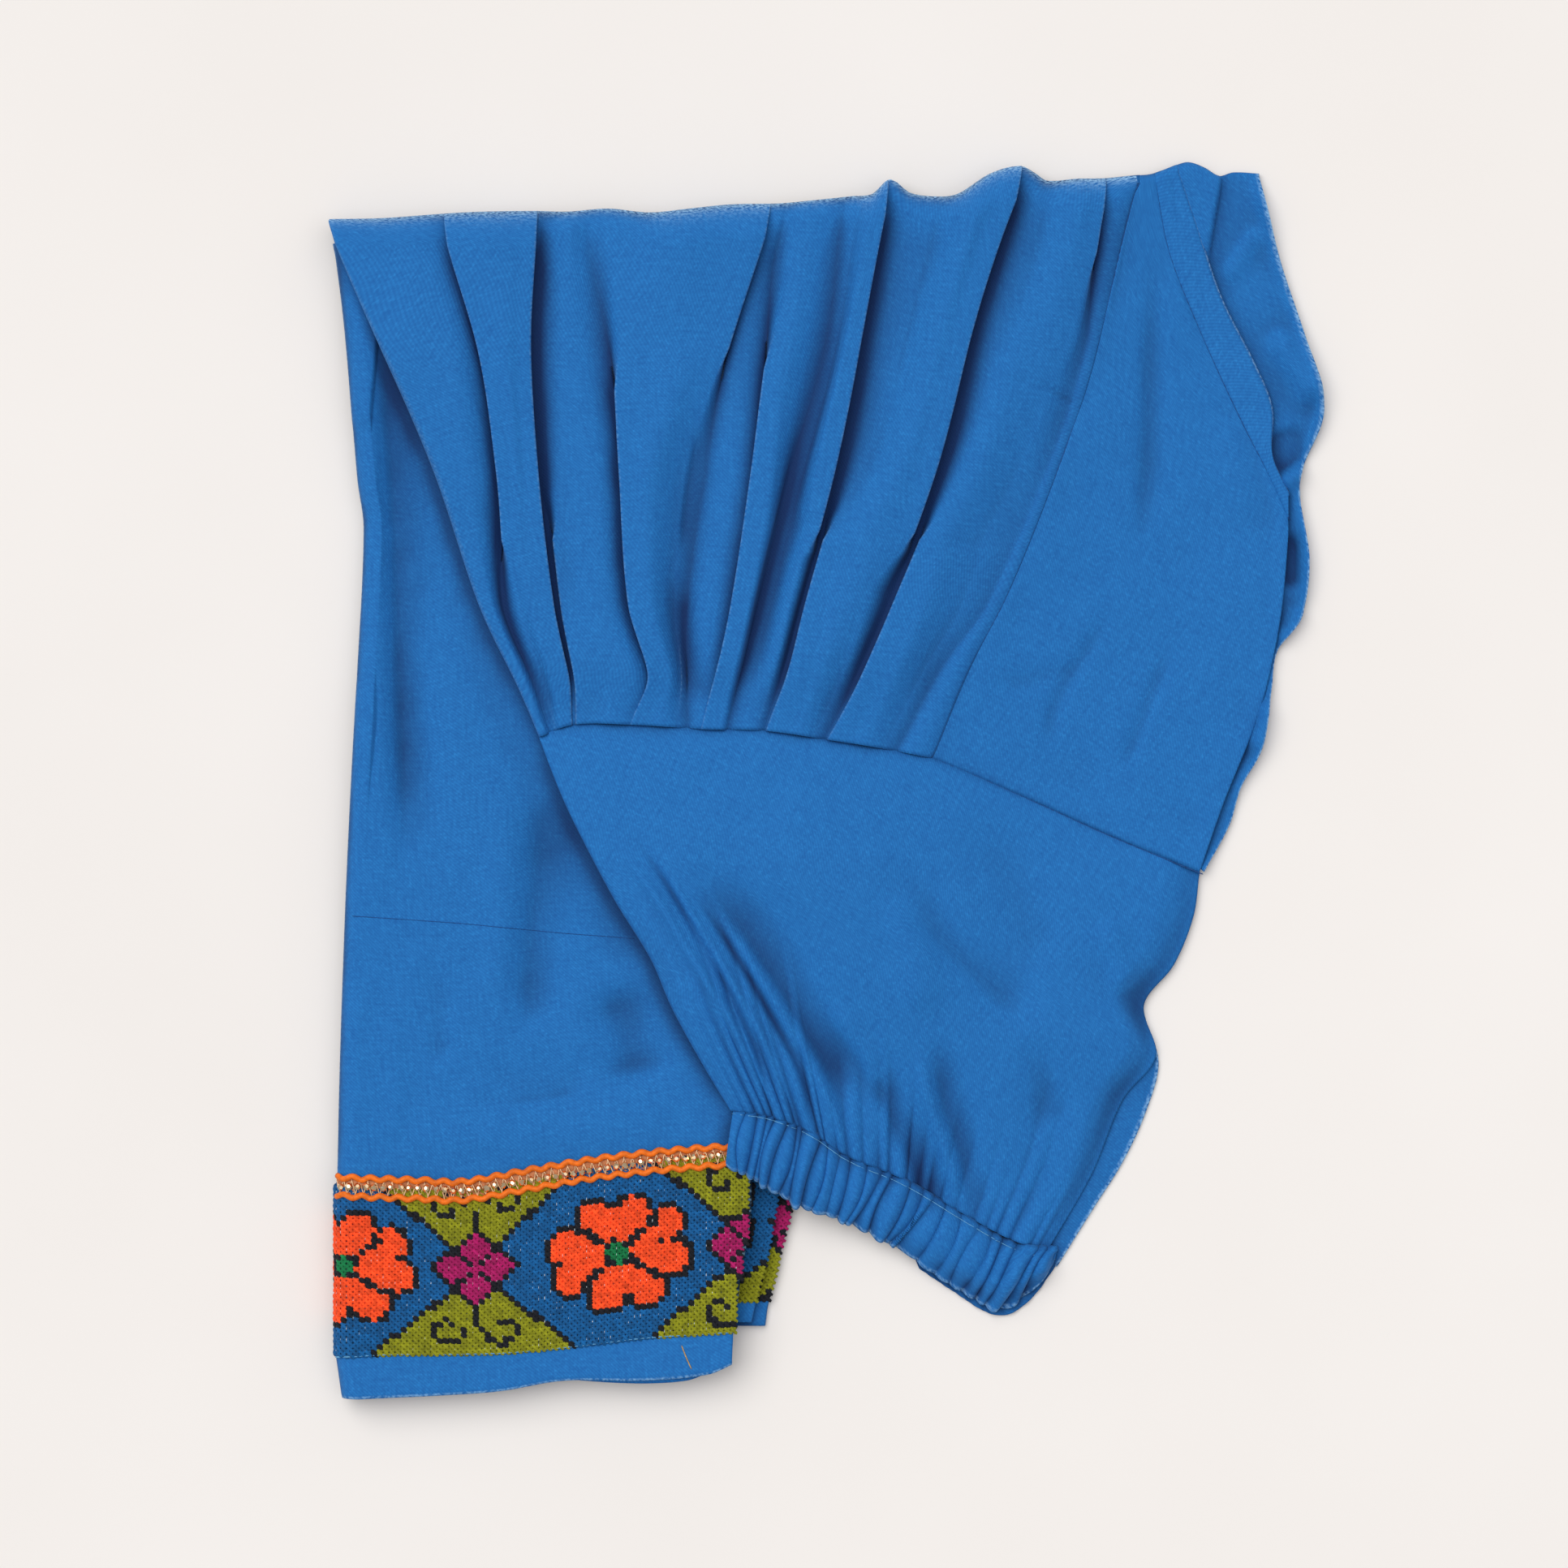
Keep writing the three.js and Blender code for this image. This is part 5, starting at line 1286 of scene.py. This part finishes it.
def sleeve_height(x, y, u, v):
    """Height over the sleeve; v runs from the armhole to the casing."""
    inner = np.sin(math.pi * np.clip(v, 0, 1)) ** mix(0.7, 1.1, v)
    across = np.sin(math.pi * np.clip(0.06 + 0.94 * u, 0, 1)) ** 0.6
    roll_edge = (1 - math.cos(ROLL_END)) * sleeve_roll(v) * (1 - ease(0, 0.3, u))
    soft = 1.6 * creased(x, y, SLEEVE_CREASES) * ease(0, 0.1, v) + 0.6 * drift(x, y, 42, 51) * inner
    ridge, number = gathers(u, np.ones(np.shape(u)))
    pull = ease(ruche_start[number], 1.0, v) ** 1.3
    small = (2.4 * ridge - 0.8) * pull * ease(-0.02, 0.05, u) * mix(1.0, 0.8, ease(0.2, 0.6, u))
    high = bed(x, y) + UPPER_LAYER + SLEEVE_LIFT + roll_edge + SLEEVE_PUFF * inner * across + soft + small
    dip = 0.15 * np.exp(-((v / 0.006) ** 2))
    return mix(high - dip, ON_BACK, ease(0.94, 1, u))


sleeve_head = curve(ARMHOLE_PLEATED + ARMHOLE_PLAIN[1:], 0, -0.15)
sleeve_foot = curve(CUFF_STITCH, 0, SEAM_GAP)
sleeve_side = reversed_line(curve(SLEEVE_LEFT))


def sleeve_left(v):
    v = np.asarray(v, float)
    side = sleeve_side(v)
    reach = (side[..., 1] - sleeve_side(0.0)[1]) / (sleeve_side(1.0)[1] - sleeve_side(0.0)[1])
    return np.stack([side[..., 0] + sleeve_roll(v), mix(sleeve_foot(0.0)[1], sleeve_head(0.0)[1], reach)], -1)


sleeve_plan = patch(sleeve_foot, sleeve_head, sleeve_left, reversed_line(curve(SLEEVE_RIGHT)))
sleeve_vs = np.concatenate([np.linspace(0, 0.985, 132), [0.99, 0.995, 1]])
sleeve_grid = lay(sleeve_plan, lambda x, y, u, v: sleeve_height(x, y, u, 1 - v),
                  np.linspace(0, 1, 244), sleeve_vs, sleeve_roll)
tuck = ease(0, 0.04, np.linspace(-0.04, 1, sleeve_grid.shape[1]))[None, :, None]
allowance = sleeve_grid[-1:] + tuck * (0.2, 1.3, -1.0) + (0, 0.02, -0.02)
sleeve_front = cloth("sleeve_front_cloth", np.concatenate([sleeve_grid, allowance]), turned=0.5)
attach(sleeve_front, "root")
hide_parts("sleeve_front")

# Back half of the sleeve
# It lies on the table and shows past the front half at the lower right.
SLEEVE_OUTER = [
    (122, -35), (120, -47), (113, -62), (106, -75), (111, -94.5), (107, -110.5),
    (99, -128), (89.5, -143), (77, -163),
]
SLEEVE_INNER = [
    (115, -35), (113.5, -47), (107.5, -60), (100.5, -74), (101, -92), (93, -108),
    (86, -125), (79, -140), (70, -159),
]


def sleeve_back_height(x, y, u, v):
    arched = 0.5 * np.sin(math.pi * np.clip(u * 1.15, 0, 1)) * ease(0, 0.2, v)
    return 0.45 + arched + 0.1 * (1 + drift(x, y, 20, 61))


sleeve_back = cloth("sleeve_back_cloth",
                    lay(between(reversed_line(curve(SLEEVE_INNER)), reversed_line(curve(SLEEVE_OUTER))),
                        sleeve_back_height, np.linspace(0, 1, 26), np.linspace(0, 1, 110)),
                    wear=worn_and_lit_edge(26, 4), turned=-0.6)
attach(sleeve_back, "root")
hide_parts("sleeve_back")

# Elastic casing of the sleeve
# A double strip of the same cotton over flat elastic, which draws it into tight ridges; a row of stitches
# joins it to the sleeve. Its lower half shows as a frilled edge.
CASING = 0.8
CUFF_CROWN = 1.8
CUFF_LIFT = 1.6
CUFF_BACK_EDGE = [(31, -163.5), (43, -171.5), (54, -178.3), (61, -178.8), (69, -173), (76.5, -162.8)]
cuff_head, cuff_foot = curve(CUFF_STITCH[:-1] + [(77, -157.5)]), curve(CUFF_EDGE)


def cuff_height(x, y, u, v):
    depth = 3.2 * gathers(u, v)[0] * (0.6 + 0.4 * np.sin(math.pi * v)) - 1.6
    high = bed(x, y) + UPPER_LAYER + CUFF_LIFT + CUFF_CROWN * np.sin(math.pi * v) + depth
    on_back = CASING * 1.5 + 1.6 + depth * 0.9
    stitched = 0.25 * np.exp(-(((v - 0.97) / 0.04) ** 2))
    settle = np.maximum((1 - ease(0, 0.4, v)) * ease(0.5, 0.75, u), ease(0.93, 1, u))
    return mix(high, on_back, settle) - stitched


def cuff_plan(u, v):
    frill = (2.0 * gathers(u, v)[0] - 1.1) * (1 - v) ** 2
    p = mix(cuff_foot(u), cuff_head(u), v[..., None])
    way = cuff_foot(u) - cuff_head(u)
    return p + way / np.linalg.norm(way, axis=-1, keepdims=True) * frill[..., None]


cuff_grid = lay(cuff_plan, cuff_height, np.linspace(0, 1, 480), np.linspace(0, 1, 30))
cuff_grid = np.concatenate([cuff_grid, cuff_grid[-1:] + (0.2, 1.4, -1.0)])
# Pale foot edge: partly rubbed nap, partly a painted highlight.
cuff_wear = np.zeros(cuff_grid.shape[:2])
cuff_wear[:2] = 0.4
cuff_front = cloth("cuff_front_cloth", cuff_grid, CASING, wear=cuff_wear)
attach(cuff_front, "root")
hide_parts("cuff_front")


def cuff_back_height(x, y, u, v):
    return 0.5 + 0.25 * (1 + np.cos(v * 60))


cuff_back = cloth("cuff_back_cloth",
                  lay(between(curve(CUFF_BACK_EDGE, -1.5, 3.5), curve(CUFF_BACK_EDGE)), cuff_back_height,
                      np.linspace(0, 1, 8), np.linspace(0, 1, 110))[:, ::-1], CASING)
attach(cuff_back, "root")
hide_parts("cuff_back")

# Sewing
# Lockstitched seams in the frock's own blue thread, about nine stitches to the inch. Light blue thread holds
# the hem to the canvas, and tan thread closes the short seam in it.
MACHINE_STITCH, HAND_STITCH = 2.8, 1.9


def sewing_line(points, height_at, pitch, inset=(0.0, 0.0)):
    """Spots and ways of stitches along a line that lies at the height given."""
    line = curve(points, *inset)(np.linspace(0, 1, 400))
    run = np.concatenate([[0], np.cumsum(np.hypot(*np.diff(line, axis=0).T))])
    at = np.arange(pitch / 2, run[-1], pitch)
    x, y = np.interp(at, run, line[:, 0]), np.interp(at, run, line[:, 1])
    ax, ay = np.interp(at + 0.8, run, line[:, 0]), np.interp(at + 0.8, run, line[:, 1])
    z, az = height_at(x, y), height_at(ax, ay)
    way = np.column_stack([ax - x, ay - y, az - z])
    side = np.column_stack([-way[:, 1], way[:, 0], np.zeros(len(at))])
    up = np.cross(way, side)
    up *= np.sign(up[:, 2:3] + 1e-9)
    return np.column_stack([x, y, z]), up, way


def on_front(x, y):
    return bed(x, y) + UPPER_LAYER


stitch_bar = shape("stitch_bar", [tube([(d, 0, h * 0.8) for d, h in arch], 0.5, 5)])
seam_thread = yarn_material("seam_thread_blue", 0.7, 0.4, "#174C8C")
light_thread = yarn_material("seam_thread_light", 0.6, 0.4, "#63A6D4")
tan_thread = yarn_material("seam_thread_tan", 0.6, 0.4, "#B99A6A")


def cuff_seam_height(x, y):
    u = np.interp(x, cuff_head(np.linspace(0, 1, 200))[:, 0], np.linspace(0, 1, 200))
    return cuff_height(x, y, u, np.full(np.shape(u), 0.97)) + CASING / 2


SHORT_SEAM = [(-48, -188.2), (-46.5, -192), (-44.7, -196)]
OLD_HEM = [(-157, -45.4), (-120, -48), (-90, -51), (-64, -52.9)]
# Name, line, height, shift, thread and breadth of each row of stitches
sewn = [
    ("armhole_stitches", ARMHOLE_PLEATED + ARMHOLE_PLAIN[1:], lambda x, y: on_front(x, y) + 0.1, (0, -0.3),
     seam_thread, 1.0),
    ("side_seam_stitches", SIDE_SEAM, on_front, (0.1, 0), seam_thread, 0.9),
    ("neck_stitches", NECK_STITCH, on_front, (0.1, 0), seam_thread, 0.9),
    ("casing_stitches", CUFF_STITCH, cuff_seam_height, (0, -0.8), light_thread, 0.7),
    ("band_foot_stitches", BAND_FOOT, lambda x, y: bed(x, y) + 0.9, (0, 0.2), light_thread, 1.3),
    ("hem_seam_stitches", SHORT_SEAM, lambda x, y: bed(x, y) + 0.55, (0, 0), tan_thread, 1.0),
    ("old_needle_marks", OLD_HEM, lambda x, y: panel_height(x, y) + 0.34, (0, 0), seam_thread, 0.6),
]
for name, points, height_at, inset, thread, broad in sewn:
    pitch = MACHINE_STITCH if len(points) > 4 else HAND_STITCH
    spots, ups, ways = sewing_line(points, height_at, pitch, inset)
    if name == "band_foot_stitches":
        past = np.minimum(0, spots[:, 0] - COLUMN_LEFT)
        spots[:, 2] -= COLUMN_ROLL - np.sqrt(np.maximum(0, COLUMN_ROLL**2 - past**2))
    size = (pitch * 0.82, 0.42 * broad, 0.36 * broad)
    stitches = place(name, spots, ups, ways, stitch_bar, size, thread, 0.15)
    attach(stitches, "root")

# Painted shade in the folds
# Cotton is painted a deeper blue where folds and the cloth around it would shade it, as painted shade, so
# each point is marked with how far it lies below the cloth around it.
CELL = 1.6
GRID_REACH = (190, 230)
# Painted shade from cloth around: rounds of spreading, weight, depth that is free, depth that counts in full
OWN_CLOTH, ALL_CLOTH, CLOSE_BY = (45, 0.6, 0.2, 3.8), (34, 0.3, 0.3, 4.5), (5, 0.45, 0.15, 2.2)
DARKEST_PAINTED_SHADE = 0.92
cotton_pieces = [o for o in bpy.context.scene.objects if o.type == "MESH" and cotton.name in o.data.materials]


def spread(heights, rounds):
    """Mean height of the cloth around each cell that holds any, and how much of that place holds cloth."""
    covered = (heights > 0).astype(float)
    for _ in range(rounds):
        for axis in (0, 1):
            heights = (np.roll(heights, 1, axis) + heights + np.roll(heights, -1, axis)) / 3
            covered = (np.roll(covered, 1, axis) + covered + np.roll(covered, -1, axis)) / 3
    return heights / np.maximum(covered, 1e-3), covered


def table_points(piece):
    flat = np.empty(len(piece.data.vertices) * 3)
    piece.data.vertices.foreach_get("co", flat)
    return flat.reshape(-1, 3) / MM + (*CENTRE, 0)


def cells(points):
    spot = (points[:, :2] + GRID_REACH) / CELL - 0.5
    low = np.floor(spot).astype(int)
    return low[:, 0], low[:, 1], *(spot - low).T


def sampled(heights, points):
    """A grid's value at points, smooth between its cells."""
    i, j, across, up = cells(points)
    low = mix(heights[i, j], heights[i + 1, j], across)
    return mix(low, mix(heights[i, j + 1], heights[i + 1, j + 1], across), up)


def height_grid(pieces):
    """The highest cloth in each cell; cells that fall between points take their neighbours' height."""
    heights = np.zeros((2 * np.array(GRID_REACH) / CELL).astype(int))
    for piece in pieces:
        points = table_points(piece)
        i, j, across, up = cells(points)
        np.maximum.at(heights, (np.round(i + across).astype(int), np.round(j + up).astype(int)), points[:, 2])
    for _ in range(2):
        around = np.max([np.roll(heights, shift, axis) for shift in (1, -1) for axis in (0, 1)], 0)
        heights = np.where(heights == 0, around, heights)
    return heights


def sunk(heights, points, felt):
    """How deep points lie under the cloth around them, with its weight; it fades out at the cloth's ends."""
    rounds, weight, free, full = felt
    mean, covered = spread(heights, rounds)
    depth = np.clip((sampled(mean, points) - points[:, 2] - free) / full, 0, 1)
    return weight * depth * ease(0.5, 0.85, sampled(covered, points))


everything = height_grid(cotton_pieces)
# Each cotton piece is marked with painted shade from its own folds, from all the cloth and from cloth close
# by.
for piece in cotton_pieces:
    points = table_points(piece)
    painted_fold_shade = sunk(height_grid([piece]), points, OWN_CLOTH) + sunk(everything, points, ALL_CLOTH)
    painted_fold_shade = np.clip(painted_fold_shade + sunk(everything, points, CLOSE_BY), 0, DARKEST_PAINTED_SHADE)
    piece.data.attributes.new("painted_fold_shade", "FLOAT", "POINT").data.foreach_set("value", painted_fold_shade)

# Studio
# Pale paper on a table, two broad soft lights, even light from all round and a camera straight above.
FLOOR_HALF, FLOOR_DROP = 1.5, 0.0002
AIR_LIGHT = 0.4
# Name, breadth in degrees, power, lean from straight down and the way that it leans
LIGHTS = [("window_light", 55, 1.72, 32, 135), ("ceiling_light", 60, 0.5, 15, 20)]
FRAME_WIDTH = 0.52164
CAMERA_PLACE = (-0.01423, -0.00149)
CAMERA_HEIGHT, CLOTH_LEVEL = 1.6, 0.008
SENSOR = 36
data = bpy.data.meshes.new("paper_floor")
corners = [(-1, -1), (1, -1), (1, 1), (-1, 1)]
data.from_pydata([(x * FLOOR_HALF, y * FLOOR_HALF, -FLOOR_DROP) for x, y in corners], [], [(0, 1, 2, 3)])
paper_floor = bpy.data.objects.new("paper_floor", data)
bpy.context.scene.collection.objects.link(paper_floor)
paper, tree = blank_material("paper_matt")
place_at = node(tree, "ShaderNodeTexCoord").outputs["Object"]
mottle = node(tree, "ShaderNodeTexNoise", {"Vector": place_at, "Scale": 6, "Detail": 3})
tone = node(tree, "ShaderNodeMix", {"Factor": mottle.outputs[0], 6: linear("#EFEAE6"), 7: linear("#F6F2EF")},
            data_type="RGBA")
skin = node(tree, "ShaderNodeBsdfPrincipled", {"Base Color": tone.outputs[2], "Roughness": 0.9,
            "Specular IOR Level": 0.1})
node(tree, "ShaderNodeOutputMaterial", {"Surface": skin.outputs[0]})
data.materials.append(paper)

world = bpy.data.worlds.new("studio_air")
world.use_nodes = True
world.node_tree.nodes["Background"].inputs[0].default_value = (1.0, 0.99, 0.98, 1)
world.node_tree.nodes["Background"].inputs[1].default_value = AIR_LIGHT
bpy.context.scene.world = world
for light_name, breadth, power, lean, towards in LIGHTS:
    lamp = bpy.data.lights.new(light_name, "SUN")
    lamp.angle, lamp.energy = math.radians(breadth), power
    made = bpy.data.objects.new(light_name, lamp)
    made.rotation_euler = (0, math.radians(lean), math.radians(towards))
    bpy.context.scene.collection.objects.link(made)

camera = bpy.data.cameras.new("camera")
camera.sensor_width = SENSOR
camera.lens = SENSOR * (CAMERA_HEIGHT - CLOTH_LEVEL) / FRAME_WIDTH
camera_object = bpy.data.objects.new("camera", camera)
camera_object.location = (*CAMERA_PLACE, CAMERA_HEIGHT)
bpy.context.scene.collection.objects.link(camera_object)
bpy.context.scene.camera = camera_object
bpy.context.scene.view_settings.view_transform = "Standard"

for small in (cross_stitch, speck, cut_bead, stitch_bar):
    bpy.data.objects.remove(small)
